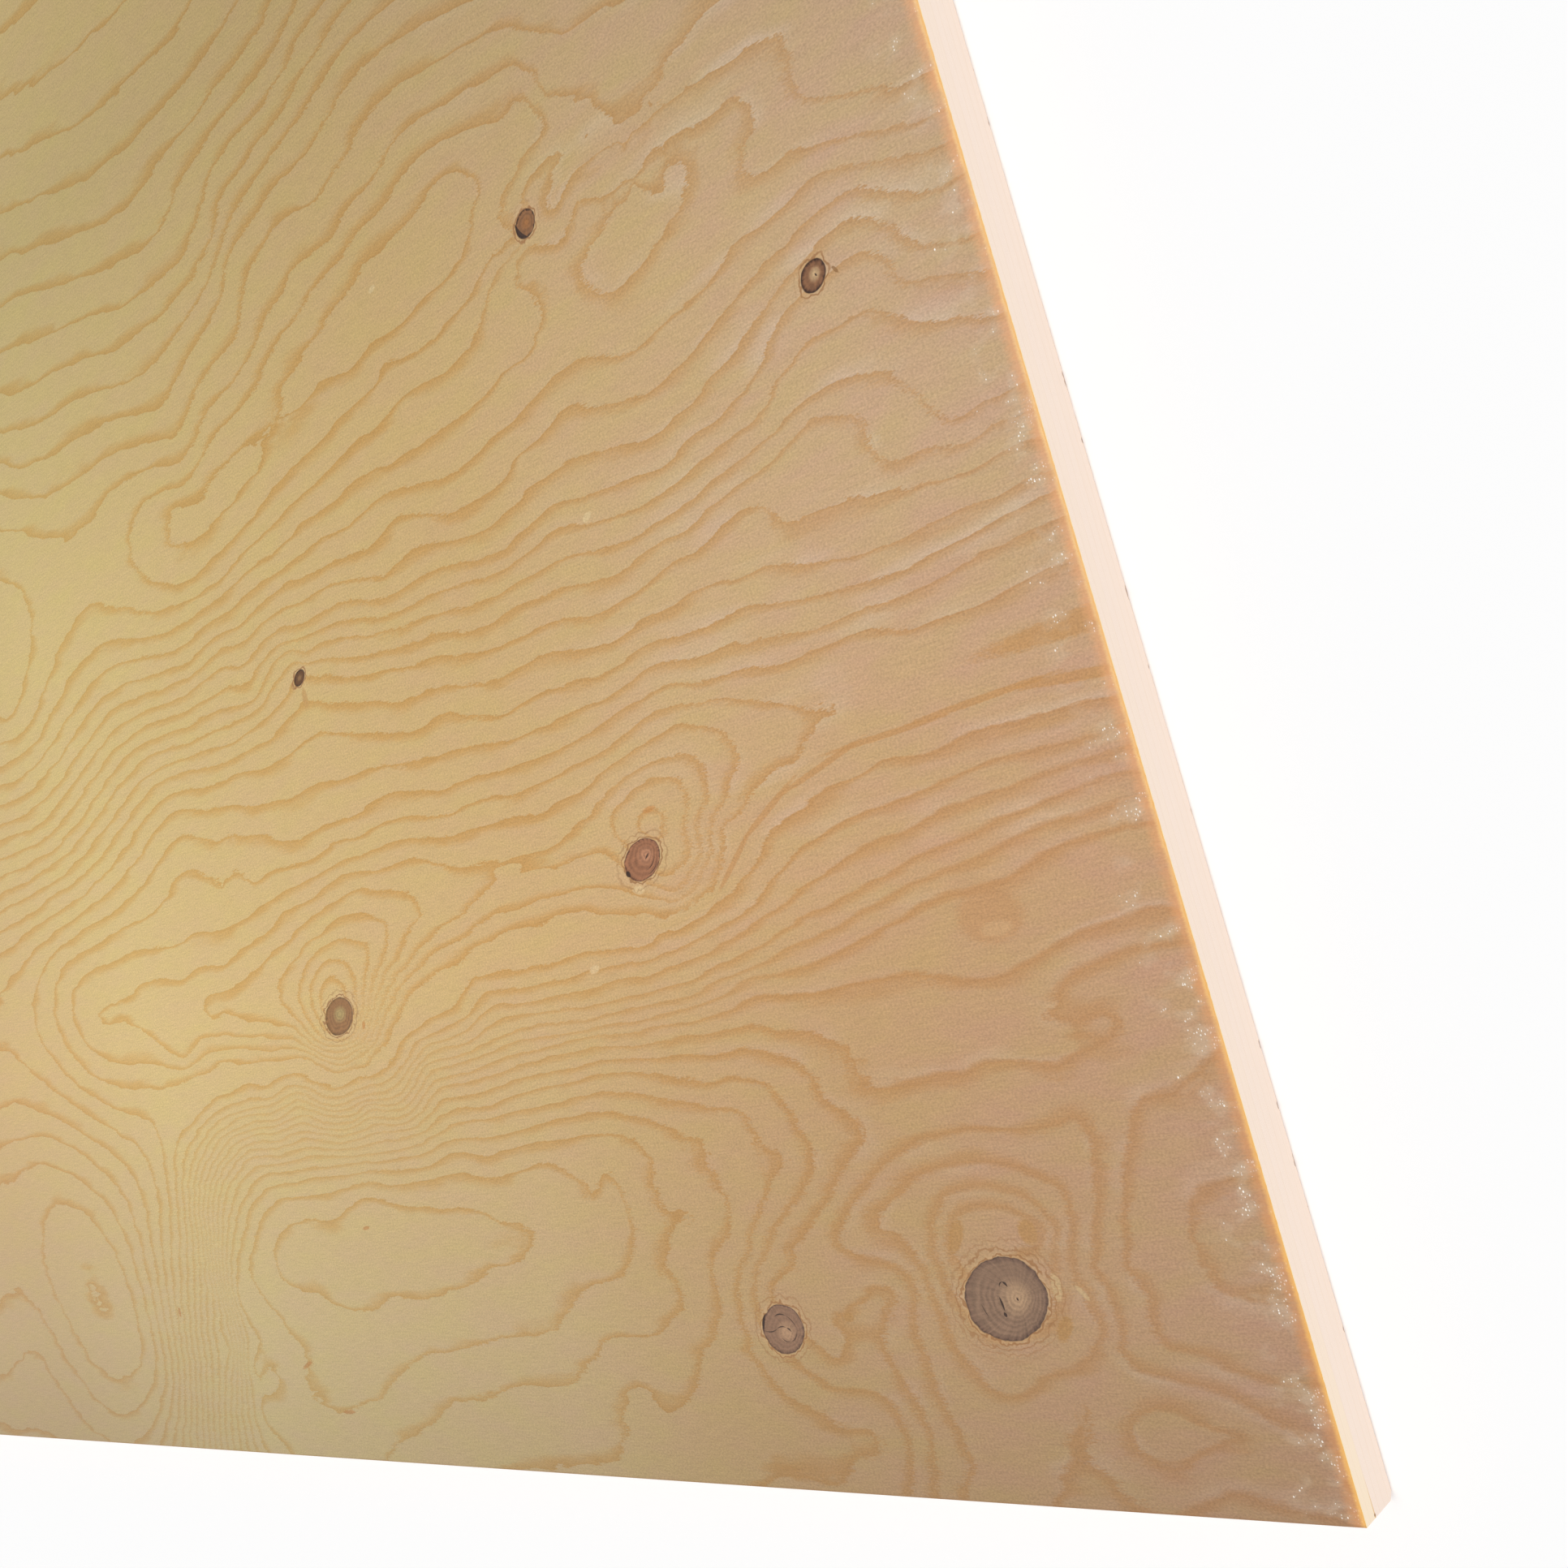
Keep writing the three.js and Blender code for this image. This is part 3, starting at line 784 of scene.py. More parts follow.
def with_knots(tree, place, grain, wood):
    """The wood's colour with the knots in it, and how far a point is in a knot."""
    flat = add(tree, "Attribute", out="Vector", attribute_name="knot")
    beyond = add(tree, "SeparateXYZ", {0: flat}).node.outputs[2]
    flat = add(tree, "VectorMath", {0: flat, 1: (1, 1, 0)}, operation="MULTIPLY")
    look = add(tree, "Attribute", out="Vector", attribute_name="knot_look")
    size, rim, tone = add(tree, "SeparateXYZ", {0: look}).node.outputs
    pith = add(tree, "Attribute", out="Vector", attribute_name="pith")
    bulges = add(tree, "VectorMath", {0: place, 3: 1 / knot_bulge}, operation="SCALE")
    bulges = add(tree, "TexNoise", {0: bulges, 2: 1.0, 3: 2.0, 4: 0.6}, noise_dimensions="2D")
    bulges = add(tree, "MapRange", {0: bulges, 1: 0.25, 2: 0.75, 3: -1, 4: 1}, clamp=False)
    reach = add(tree, "VectorMath", {0: flat}, out=1, operation="LENGTH")
    reach = add(tree, "Math", {0: bulges, 1: 0.03, 2: reach}, operation="MULTIPLY_ADD")
    reach = add(tree, "Math", {0: reach, 1: beyond}, operation="ADD")

    # Outside: a pale skirt, and thin rings squeezed round it
    outside = add(tree, "Math", {0: reach, 1: 1.0}, operation="SUBTRACT")
    outside = add(tree, "Math", {0: outside, 1: size}, operation="MULTIPLY")
    skirt = add(tree, "MapRange", {0: outside, 1: 0.4, 2: 2.2, 3: 0.3, 4: 0}, **smoothly)
    wood = add(tree, "Mix", {0: skirt, 6: wood, 7: linear("#d0ac7e")}, **in_colour)
    squeezed = add(tree, "Math", {0: outside, 1: 2 * math.pi / skirt_ring}, operation="MULTIPLY")
    squeezed = add(tree, "Math", {0: bulges, 1: knot_wobble, 2: squeezed}, operation="MULTIPLY_ADD")
    squeezed = add(tree, "Math", {0: squeezed}, operation="SINE")
    squeezed = add(tree, "MapRange", {0: squeezed, 1: 0.4, 2: 0.9, 3: 0, 4: 0.85})
    crowd = add(tree, "Math", {0: size, 1: 0.65}, operation="MULTIPLY")
    fading = add(tree, "MapRange", {0: outside, 1: 1.0, 2: crowd, 3: 1, 4: 0})
    squeezed = add(tree, "Math", {0: squeezed, 1: fading}, operation="MULTIPLY")
    wood = add(tree, "Mix", {0: squeezed, 6: wood, 7: linear("#9a6e46")}, **in_colour)

    # Inside: rings about a pith that lies off the middle, and rays that cross them
    inward = add(tree, "Math", {0: reach, 1: reach}, operation="MULTIPLY")
    inward = add(tree, "Math", {0: 1.0, 1: inward}, operation="SUBTRACT", use_clamp=True)
    pith = add(tree, "VectorMath", {0: pith, 3: inward}, operation="SCALE")
    centred = add(tree, "VectorMath", {0: flat, 1: pith}, operation="SUBTRACT")
    outward = add(tree, "VectorMath", {0: centred}, out=1, operation="LENGTH")
    turns = add(tree, "Math", {0: outward, 1: size}, operation="MULTIPLY")
    turns = add(tree, "Math", {0: turns, 1: 2 * math.pi / knot_ring}, operation="MULTIPLY")
    turns = add(tree, "Math", {0: bulges, 1: knot_wobble, 2: turns}, operation="MULTIPLY_ADD")
    turns = add(tree, "Math", {0: turns}, operation="SINE")
    aim = add(tree, "VectorMath", {0: centred}, operation="NORMALIZE")
    aim = add(tree, "VectorMath", {0: aim, 3: size}, operation="SCALE")
    aim = add(tree, "VectorMath", {0: aim, 3: 1 / ray_width}, operation="SCALE")
    lift = add(tree, "CombineXYZ", {2: outward})
    aim = add(tree, "VectorMath", {0: aim, 1: lift}, operation="ADD")
    rays = add(tree, "TexNoise", {0: aim, 2: 1.0, 3: 2.0, 4: 0.6})
    rays = add(tree, "MapRange", {0: rays, 1: 0.3, 2: 0.7, 3: -1, 4: 1}, clamp=False)

    # How brown the knot is, and the heart's, the body's and the rim's colour there
    tones = (
        (0.0, "#aa8a6b", "#866a55", "#6e5445"),
        (0.4, "#b37f5f", "#976648", "#7c4e38"),
        (0.55, "#aa925f", "#936a42", "#8a643a"),
        (0.8, "#c0a078", "#825a3e", "#462a1c"),
        (0.9, "#976539", "#835b3a", "#50321e"),
        (1.0, "#84603a", "#5e3c1c", "#54361c"),
    )
    colours = {}
    for column, part in enumerate(("heart", "body", "rim"), start=1):
        colours[part] = add(tree, "ValToRGB", {0: tone})
        ramp = colours[part].node.color_ramp
        for _ in range(len(tones) - len(ramp.elements)):
            ramp.elements.new(0.5)
        for element, row in zip(ramp.elements, tones):
            element.position = row[0]
            element.color = linear(row[column])
    to_body = add(tree, "MapRange", {0: outward, 1: 0.1, 2: 0.6, 3: 0, 4: 1}, **smoothly)
    knot = add(tree, "Mix", {0: to_body, 6: colours["heart"], 7: colours["body"]}, **in_colour)
    depth = add(tree, "Math", {0: outside, 1: -1.0}, operation="MULTIPLY")
    depth = add(tree, "Math", {0: rays, 1: ray_fray, 2: depth}, operation="MULTIPLY_ADD")
    in_rim = add(tree, "MapRange", {0: depth, 1: 0, 2: rim, 3: 1, 4: 0}, **smoothly)
    knot = add(tree, "Mix", {0: in_rim, 6: knot, 7: colours["rim"]}, **in_colour)
    patchy = add(tree, "MapRange", {0: grain["patches"], 1: -0.6, 2: 0.6, 3: 0.04, 4: 0.17})
    shade = add(tree, "Math", {0: turns, 1: patchy, 2: 1.0}, operation="MULTIPLY_ADD")
    shade = add(tree, "Math", {0: rays, 1: 0.12, 2: shade}, operation="MULTIPLY_ADD")
    shade = add(tree, "Math", {0: grain["specks"], 1: 0.08, 2: shade}, operation="MULTIPLY_ADD")
    outline = add(tree, "MapRange", {0: depth, 1: 0.1, 2: 0.8, 3: 0.62, 4: 1}, **smoothly)
    shade = add(tree, "Math", {0: shade, 1: outline}, operation="MULTIPLY")
    knot = add(tree, "Mix", {0: 1.0, 6: knot, 7: shade}, **as_factor)
    inside = add(tree, "MapRange", {0: outside, 1: -0.2, 2: 0.2, 3: 1, 4: 0}, **smoothly)
    wood = add(tree, "Mix", {0: inside, 6: wood, 7: knot}, **in_colour)
    return wood, inside


# Marks beside the knots, and late wood where the face only grazes a ring: x and y of the
# middle, half the long and half the short way across, the turn of the long way from +X,
# and the colour
grazed_ring = "#c49460"
resin = "#c68c50"
tan_patch = "#c4985f"
brown_speck = "#8c623a"
lifted_fibres = "#dcc092"
broad_graze = "#c69b70"  # where the face lies along one ring
broad_graze_heart = "#d1ad84"
FLECKS = [
    (-427.0, 104.0, 2.6, 0.8, 8, resin),
    (-505.0, 43.6, 5.0, 1.0, 20, resin),
    (-482.0, 22.0, 5.0, 1.0, 3, resin),
    (-608.0, 70.0, 2.6, 1.2, 80, resin),
    (-386.0, 188.0, 2.0, 1.0, 60, resin),
    (-238.0, 190.0, 2.8, 1.5, 10, lifted_fibres),
    (-177.0, 337.0, 2.6, 1.3, 20, lifted_fibres),
    (-165.0, 61.0, 2.4, 1.7, 5, tan_patch),
    (-250.0, 445.0, 2.2, 1.0, 12, lifted_fibres),
    (-69.4, 67.0, 3.0, 0.9, 128, lifted_fibres),
    (-78.2, 69.0, 4.6, 1.9, 82, lifted_fibres),
    (-79.6, 56.2, 5.0, 2.5, 52, tan_patch),
    (-82.8, 86.2, 4.2, 3.6, 100, tan_patch),
    (-110.5, 86.0, 6.2, 2.6, 55, tan_patch),
    (-188.0, 238.5, 3.4, 1.0, 5, resin),
    (-206.0, 219.5, 4.0, 1.5, 118, resin),
    (-204.2, 213.2, 3.0, 1.5, 172, lifted_fibres),
    (-50.9, 370.4, 1.6, 0.6, 124, brown_speck),
    (-360.7, 320.4, 4.0, 1.8, 80, tan_patch),
    (-9.0, 239.4, 27.0, 1.7, -5, grazed_ring),
    (-45.0, 241.3, 30.0, 1.1, 2, grazed_ring),
    (-82.0, 239.4, 26.0, 1.0, 1, grazed_ring),
    (-110.0, 235.6, 22.0, 1.1, 14, grazed_ring),
    (-136.0, 227.4, 17.0, 1.2, 27, grazed_ring),
    (-156.0, 214.8, 14.0, 1.1, 38, grazed_ring),
    (4.0, 253.7, 47.0, 3.7, 1, grazed_ring),
    (-63.0, 180.6, 12.5, 8.4, 0, broad_graze),
    (-62.0, 176.6, 6.0, 2.4, 0, broad_graze_heart),
]

# Drying checks and the black gaps beside loose knots: x and y of both ends, how far the
# middle bows to the left of the way from one to the other, and half the width, in mm
CHECKS = [
    (-100.8, 66.6, -100.2, 61.9, 0.1, 0.42),
    (-100.7, 61.6, -100.0, 60.0, 0.0, 0.6),
    (-94.3, 66.1, -93.8, 65.0, 0.0, 0.35),
    (-99.7, 69.4, -97.8, 71.2, 0.47, 0.2),
    (-98.1, 71.2, -96.5, 69.5, 0.27, 0.42),
    (-108.5, 64.2, -106.9, 60.0, -0.12, 0.14),
    (-206.4, 56.6, -203.2, 62.9, 0.55, 0.5),
    (-206.0, 56.7, -199.8, 57.4, -0.7, 0.18),
    (-199.8, 57.4, -195.3, 57.7, 0.54, 0.2),
    (-195.3, 57.7, -193.5, 56.2, 0.26, 0.32),
    (-199.5, 61.7, -194.1, 61.9, 0.68, 0.22),
    (-194.1, 61.9, -190.8, 58.0, 0.51, 0.15),
    (-199.0, 54.5, -194.8, 52.9, -0.85, 0.17),
    (-194.8, 52.9, -191.2, 56.2, -0.76, 0.15),
    (-196.9, 222.7, -194.5, 224.6, 0.0, 0.3),
    (-197.5, 219.1, -192.0, 223.2, -0.72, 0.15),
    (-197.3, 217.6, -191.3, 221.9, -0.93, 0.15),
    (-207.8, 220.3, -206.4, 218.2, 0.0, 1.0),
    (-58.5, 372.3, -57.9, 371.3, 0.0, 0.32),
    (-170.7, 435.2, -166.6, 429.3, -1.5, 0.85),
]


def with_flecks(tree, place, grain, wood):
    """The good face's colour with its marks in it."""
    for mid_x, mid_y, half_long, half_short, turn, code in FLECKS:
        at = add(tree, "Mapping", {
            0: place, 1: (mid_x, mid_y, 0), 2: (0, 0, math.radians(turn)), 3: (half_long, half_short, 1),
        }, vector_type="TEXTURE")
        at = add(tree, "VectorMath", {0: at, 1: (1, 1, 0)}, operation="MULTIPLY")
        reach = add(tree, "VectorMath", {0: at}, out=1, operation="LENGTH")
        reach = add(tree, "Math", {0: grain["fibres"], 1: 0.15, 2: reach}, operation="MULTIPLY_ADD")
        share = add(tree, "MapRange", {0: reach, 1: 0.75, 2: 1.15, 3: 0.75, 4: 0}, **smoothly)
        wood = add(tree, "Mix", {0: share, 6: wood, 7: linear(code)}, **in_colour)
    return wood


def with_checks(tree, place, wood):
    """The good face's colour with its open checks, which are nearly black."""
    opened = -1.0
    for x0, y0, x1, y1, bow, half_width in CHECKS:
        half = math.hypot(x1 - x0, y1 - y0) / 2
        turn = math.atan2(y1 - y0, x1 - x0)
        at = add(tree, "Mapping", {
            0: place, 1: ((x0 + x1) / 2, (y0 + y1) / 2, 0), 2: (0, 0, turn), 3: (half, 1, 1),
        }, vector_type="TEXTURE")
        along, across, _ = add(tree, "SeparateXYZ", {0: at}).node.outputs
        taper = add(tree, "Math", {0: along, 1: along}, operation="MULTIPLY")
        taper = add(tree, "Math", {0: 1.0, 1: taper}, operation="SUBTRACT")
        off = add(tree, "Math", {0: taper, 1: -bow, 2: across}, operation="MULTIPLY_ADD")
        off = add(tree, "Math", {0: off}, operation="ABSOLUTE")
        gape = add(tree, "Math", {0: taper, 1: half_width}, operation="MULTIPLY")
        gape = add(tree, "Math", {0: gape, 1: off}, operation="SUBTRACT")
        opened = add(tree, "Math", {0: opened, 1: gape}, operation="MAXIMUM")
    shown = add(tree, "MapRange", {0: opened, 1: -0.1, 2: 0.1, 3: 0, 4: 0.92})
    return add(tree, "Mix", {0: shown, 6: wood, 7: linear("#2c1c16")}, **in_colour)


glint_along = 1.0  # glint_along = 1.0 # mm between the places where a painted glint, light off a lifted fibre, may stand, along the end
glint_across = 0.8
glint_reach = 27.0  # mm of the face next to the sawn end that has them
glint_cluster = (12.0, 7.0)  # mm in from the end and along it, over which they gather
glow_line = 1.8  # glow_line = 1.8 # mm of the face at the broken arris, painted brightest where the light comes through it
glow_reach = 6.0  # glow_reach = 6.0 # mm over which that painted warmth fades
glow_patch = 11.11  # mm along the end over which it comes and goes


def with_painted_end_light(tree, place, grain, wood):
    """The good face's colour next to the sawn end: painted white glints of light off lifted
    fibres, in patches of painted pale sheen, and the painted warm glow of light through the
    thin broken arris. The side's arris is brown."""
    toward, upward, _ = add(tree, "SeparateXYZ", {0: place}).node.outputs
    from_end = add(tree, "Math", {0: toward, 1: -1.0}, operation="MULTIPLY")
    # Painted glints: white specks of light off lifted fibres
    at = add(tree, "VectorMath", {0: place, 1: (1 / glint_across, 1 / glint_along, 0)}, operation="MULTIPLY")
    glint_cells = add(tree, "TexVoronoi", {0: at, 2: 1.0}, voronoi_dimensions="2D").node.outputs
    draw = add(tree, "SeparateColor", {0: glint_cells[1]}).node.outputs
    radius = add(tree, "MapRange", {0: draw[1], 1: 0, 2: 1, 3: 0.1, 4: 0.36})
    painted_glint = add(tree, "Math", {0: radius, 1: glint_cells[0]}, operation="SUBTRACT")
    painted_glint = add(tree, "MapRange", {0: painted_glint, 1: -0.05, 2: 0.08, 3: 0, 4: 1})
    gather = (1 / glint_cluster[0], 1 / glint_cluster[1], 0)
    at = add(tree, "VectorMath", {0: place, 1: gather}, operation="MULTIPLY")
    cluster = add(tree, "TexNoise", {0: at, 2: 1.0, 3: 2.0, 4: 0.6}, noise_dimensions="2D")
    by_side = add(tree, "MapRange", {0: upward, 1: 0, 2: 200, 3: 0.05, 4: -0.02})
    by_end = add(tree, "MapRange", {0: from_end, 1: 2, 2: glint_reach, 3: 0.03, 4: -0.7})
    chance = add(tree, "MapRange", {0: cluster, 1: 0.52, 2: 0.64, 3: -0.1, 4: 0.5})
    chance = add(tree, "Math", {0: chance, 1: by_side}, operation="ADD")
    chance = add(tree, "Math", {0: chance, 1: by_end}, operation="ADD")
    picked = add(tree, "Math", {0: draw[0], 1: chance}, operation="LESS_THAN")
    dull = add(tree, "MapRange", {0: draw[2], 1: 0, 2: 1, 3: 0.35, 4: 1})
    for less in (picked, dull):
        painted_glint = add(tree, "Math", {0: painted_glint, 1: less}, operation="MULTIPLY")
    # Painted sheen: pale patches where the glints gather
    painted_sheen_patch = add(tree, "MapRange", {0: cluster, 1: 0.46, 2: 0.72, 3: 0, 4: 0.3}, **smoothly)
    close_by = add(tree, "MapRange", {0: from_end, 1: 3, 2: glint_reach, 3: 1, 4: 0}, **smoothly)
    painted_sheen_patch = add(tree, "Math", {0: painted_sheen_patch, 1: close_by}, operation="MULTIPLY")
    wood = add(tree, "Mix", {0: painted_sheen_patch, 6: wood, 7: linear("#d8c8b0")}, **in_colour)
    wood = add(tree, "Mix", {0: painted_glint, 6: wood, 7: linear("#fff8ec")}, **in_colour)

    # The painted glow of light through the broken arris is uneven along the end, and more orange
    #     # towards the corner. Its last, tan line at the arris itself is painted shade.
    uneven = add(tree, "TexNoise", {1: upward, 2: 1 / glow_patch, 3: 3.0, 4: 0.7}, noise_dimensions="1D")
    uneven = add(tree, "MapRange", {0: uneven, 1: 0.3, 2: 0.7, 3: 0.55, 4: 1})
    near_corner = add(tree, "MapRange", {0: upward, 1: 60, 2: 260, 3: 1, 4: 0})
    for reach, most, far_code, near_code in (
        (glow_reach, 0.75, "#ecab78", "#d8945c"),
        (glow_line, 0.9, "#fbcf90", "#f4bc6c"),
        (2 * arris, 0.9, "#e2ac66", "#dfa85a"),
    ):
        frayed = {0: grain["fibres"], 1: 0.12 * reach, 2: from_end}
        frayed = add(tree, "Math", frayed, operation="MULTIPLY_ADD")
        share = add(tree, "MapRange", {0: frayed, 1: 0.2 * reach, 2: reach, 3: most, 4: 0}, **smoothly)
        share = add(tree, "Math", {0: share, 1: uneven}, operation="MULTIPLY")
        glow = add(tree, "Mix", {0: near_corner, 6: linear(far_code), 7: linear(near_code)}, **in_colour)
        wood = add(tree, "Mix", {0: share, 6: wood, 7: glow}, **in_colour)

    brown = add(tree, "MapRange", {0: upward, 1: 0.3, 2: 1.0, 3: 0.35, 4: 0}, **smoothly)
    return add(tree, "Mix", {0: brown, 6: wood, 7: linear("#8f6440")}, **in_colour)


def rotary_veneer(name, is_good):
    """One face's finish. The good face also has its marks, checks and torn end, with painted glints, sheen
    and glow beside it.
    """
    finish = bpy.data.materials.new(name)
    finish.use_nodes = True
    tree = finish.node_tree
    shader = tree.nodes["Principled BSDF"]
    place = from_corner(tree)
    toward, from_side, _ = add(tree, "SeparateXYZ", {0: place}).node.outputs
    from_end = add(tree, "Math", {0: toward, 1: -1.0}, operation="MULTIPLY")
    grain = grain_patterns(tree, place)

    # The rings wander more where they are only drawn loosely, and blur next to the corner
    far = add(tree, "MapRange", {0: from_end, 1: drawn_length, 2: loose_length, 3: 0.03, 4: 0.05})
    wide = add(tree, "MapRange", {0: from_side, 1: drawn_width, 2: loose_width, 3: 0.03, 4: 0.05})
    loose = add(tree, "Math", {0: far, 1: wide}, operation="MAXIMUM")
    off_corner = add(tree, "VectorMath", {0: place}, out=1, operation="LENGTH")
    soft = add(tree, "MapRange", {0: off_corner, 1: 140, 2: 300, 3: 1, 4: 0}, **smoothly)
    line, band, sheen_past_line = late_wood(tree, grain, loose, soft)

    # Early wood is honey, and turns to a pinkish tan towards the end, and both late tones
    # follow. Painted shade darkens the whole face beside the near side and towards the far one,
    # and darkens and warms it round the near corner. For each: what the distance is taken from,
    # the sheet's size that way, and at each distance in mm a colour, or what the wood's is multiplied by.
    drifts = {
        "early": (from_end, length, (
            (0, "#c8a880"), (250, "#ceae76"), (560, "#d8be80"), (760, "#d0b27a"),
        )),
        "cloud": (from_end, length, (
            (0, "#caa28a"), (250, "#cfaa7c"), (560, "#d8ba86"), (760, "#d0ae80"),
        )),
        "band": (from_end, length, (
            (0, "#c29468"), (250, "#c89a5c"), (560, "#d2aa66"), (760, "#ca9e62"),
        )),
        "line": (from_end, length, (
            (0, "#bc8c60"), (250, "#c29456"), (560, "#cca45e"), (760, "#c4965a"),
        )),
        "painted_shade_stripes": (from_side, width, (
            (0, "#d8deec"), (60, "#e8eefc"), (200, "#ffffff"), (400, "#f4f8f4"),
            (560, "#dae0dc"), (760, "#e4e6e4"), (1220, "#e6e6e6"),
        )),
        "painted_corner_shade": (off_corner, width, (
            (0, "#f8ead4"), (200, "#f8f0e4"), (320, "#ffffff"),
        )),
    }
    colours = {}
    for part, (distance_to, span, stops) in drifts.items():
        share = add(tree, "Math", {0: distance_to, 1: 1 / span}, operation="MULTIPLY")
        colours[part] = add(tree, "ValToRGB", {0: share})
        ramp = colours[part].node.color_ramp
        for _ in range(len(stops) - len(ramp.elements)):
            ramp.elements.new(0.5)
        for element, (distance, code) in zip(ramp.elements, stops):
            element.position = distance / span
            element.color = linear(code)

    cloudy = add(tree, "MapRange", {0: grain["clouds"], 1: -1, 2: 1, 3: 0, 4: 0.9})
    wood = add(tree, "Mix", {0: cloudy, 6: colours["early"], 7: colours["cloud"]}, **in_colour)
    # Painted sheen: a pale shine on the wood just past the lines, strongest towards the end
    sheen_near_end = add(tree, "MapRange", {0: from_end, 1: 40, 2: 260, 3: 0.4, 4: 0}, **smoothly)
    patchy = add(tree, "MapRange", {0: grain["patches"], 1: -0.2, 2: 0.8, 3: 0, 4: 1})
    pale = sheen_past_line
    for less in (sheen_near_end, patchy):
        pale = add(tree, "Math", {0: pale, 1: less}, operation="MULTIPLY")
    wood = add(tree, "Mix", {0: pale, 6: wood, 7: linear("#dcc6b4")}, **in_colour)
    by_end = add(tree, "MapRange", {0: from_end, 1: 20, 2: 320, 3: 0.65, 4: 1})
    by_side = add(tree, "MapRange", {0: from_side, 1: 40, 2: 220, 3: 0.85, 4: 1})
    strong = add(tree, "Math", {0: by_end, 1: by_side}, operation="MULTIPLY")
    for part, amount in (("band", band), ("line", line)):
        share = add(tree, "Math", {0: amount, 1: strong}, operation="MULTIPLY")
        wood = add(tree, "Mix", {0: share, 6: wood, 7: colours[part]}, **in_colour)
    if is_good:
        wood = with_flecks(tree, place, grain, wood)
    # Painted shade: darker beside the near side and in a broad stripe, darker and warmer round the near
    # corner
    for part in ("painted_shade_stripes", "painted_corner_shade"):
        wood = add(tree, "Mix", {0: 1.0, 6: wood, 7: colours[part]}, **as_factor)
    specks = add(tree, "Math", {0: grain["specks"], 1: 0.12, 2: 1.0}, operation="MULTIPLY_ADD")
    specks = add(tree, "Math", {0: grain["streaks"], 1: 0.055, 2: specks}, operation="MULTIPLY_ADD")
    wood = add(tree, "Mix", {0: 1.0, 6: wood, 7: specks}, **as_factor)

    wood, knotty = with_knots(tree, place, grain, wood)
    if is_good:
        wood = with_checks(tree, place, wood)
        wood = with_painted_end_light(tree, place, grain, wood)
    tree.links.new(wood, shader.inputs["Base Color"])

    relief = add(tree, "Math", {0: grain["streaks"], 1: grain["specks"]}, operation="ADD")
    bumps = add(tree, "Bump", {0: 0.3, 1: fibre_height * MM, 3: relief})
    tree.links.new(bumps, shader.inputs["Normal"])
    gloss = add(tree, "MapRange", {0: knotty, 1: 0, 2: 1, 3: sanded_roughness, 4: knot_roughness})
    gloss = add(tree, "Math", {0: line, 1: -late_smoother, 2: gloss}, operation="MULTIPLY_ADD")
    tree.links.new(gloss, shader.inputs["Roughness"])
    shader.inputs["Specular IOR Level"].default_value = 0.3
    return finish


good_face = rotary_veneer("sanded_spruce_face", is_good=True)
back_face = rotary_veneer("sanded_spruce_back", is_good=False)


# ---------------------------------------------------------------------------------------
# The sawn edges. Veneers lie crosswise in turn, so each edge shows sawn fibre ends in some
# and long fibres in the others, all very pale, as cut last and with bright light painted in.
# The glue lines are hair-thin, and one has opened at the near corner.

saw_pitch = 1.7  # mm between the marks that the saw's teeth left
saw_depth = 0.1
sawn_roughness = 0.85
fibre_end = 0.35  # mm, a bundle of fibre ends, drawn coarser than it is
glue_line = 0.12  # mm, half its width
opened_line = 2 * ply  # mm under the good face
opened_length = 14.0  # mm along the end from the near corner
opened_width = 0.32
opened_spot = (0.8, opened_line, 0.0)  # mm along the end and down to the dark spot in it
splinter_pitch = 9.0  # mm between the splinters along the back's arris


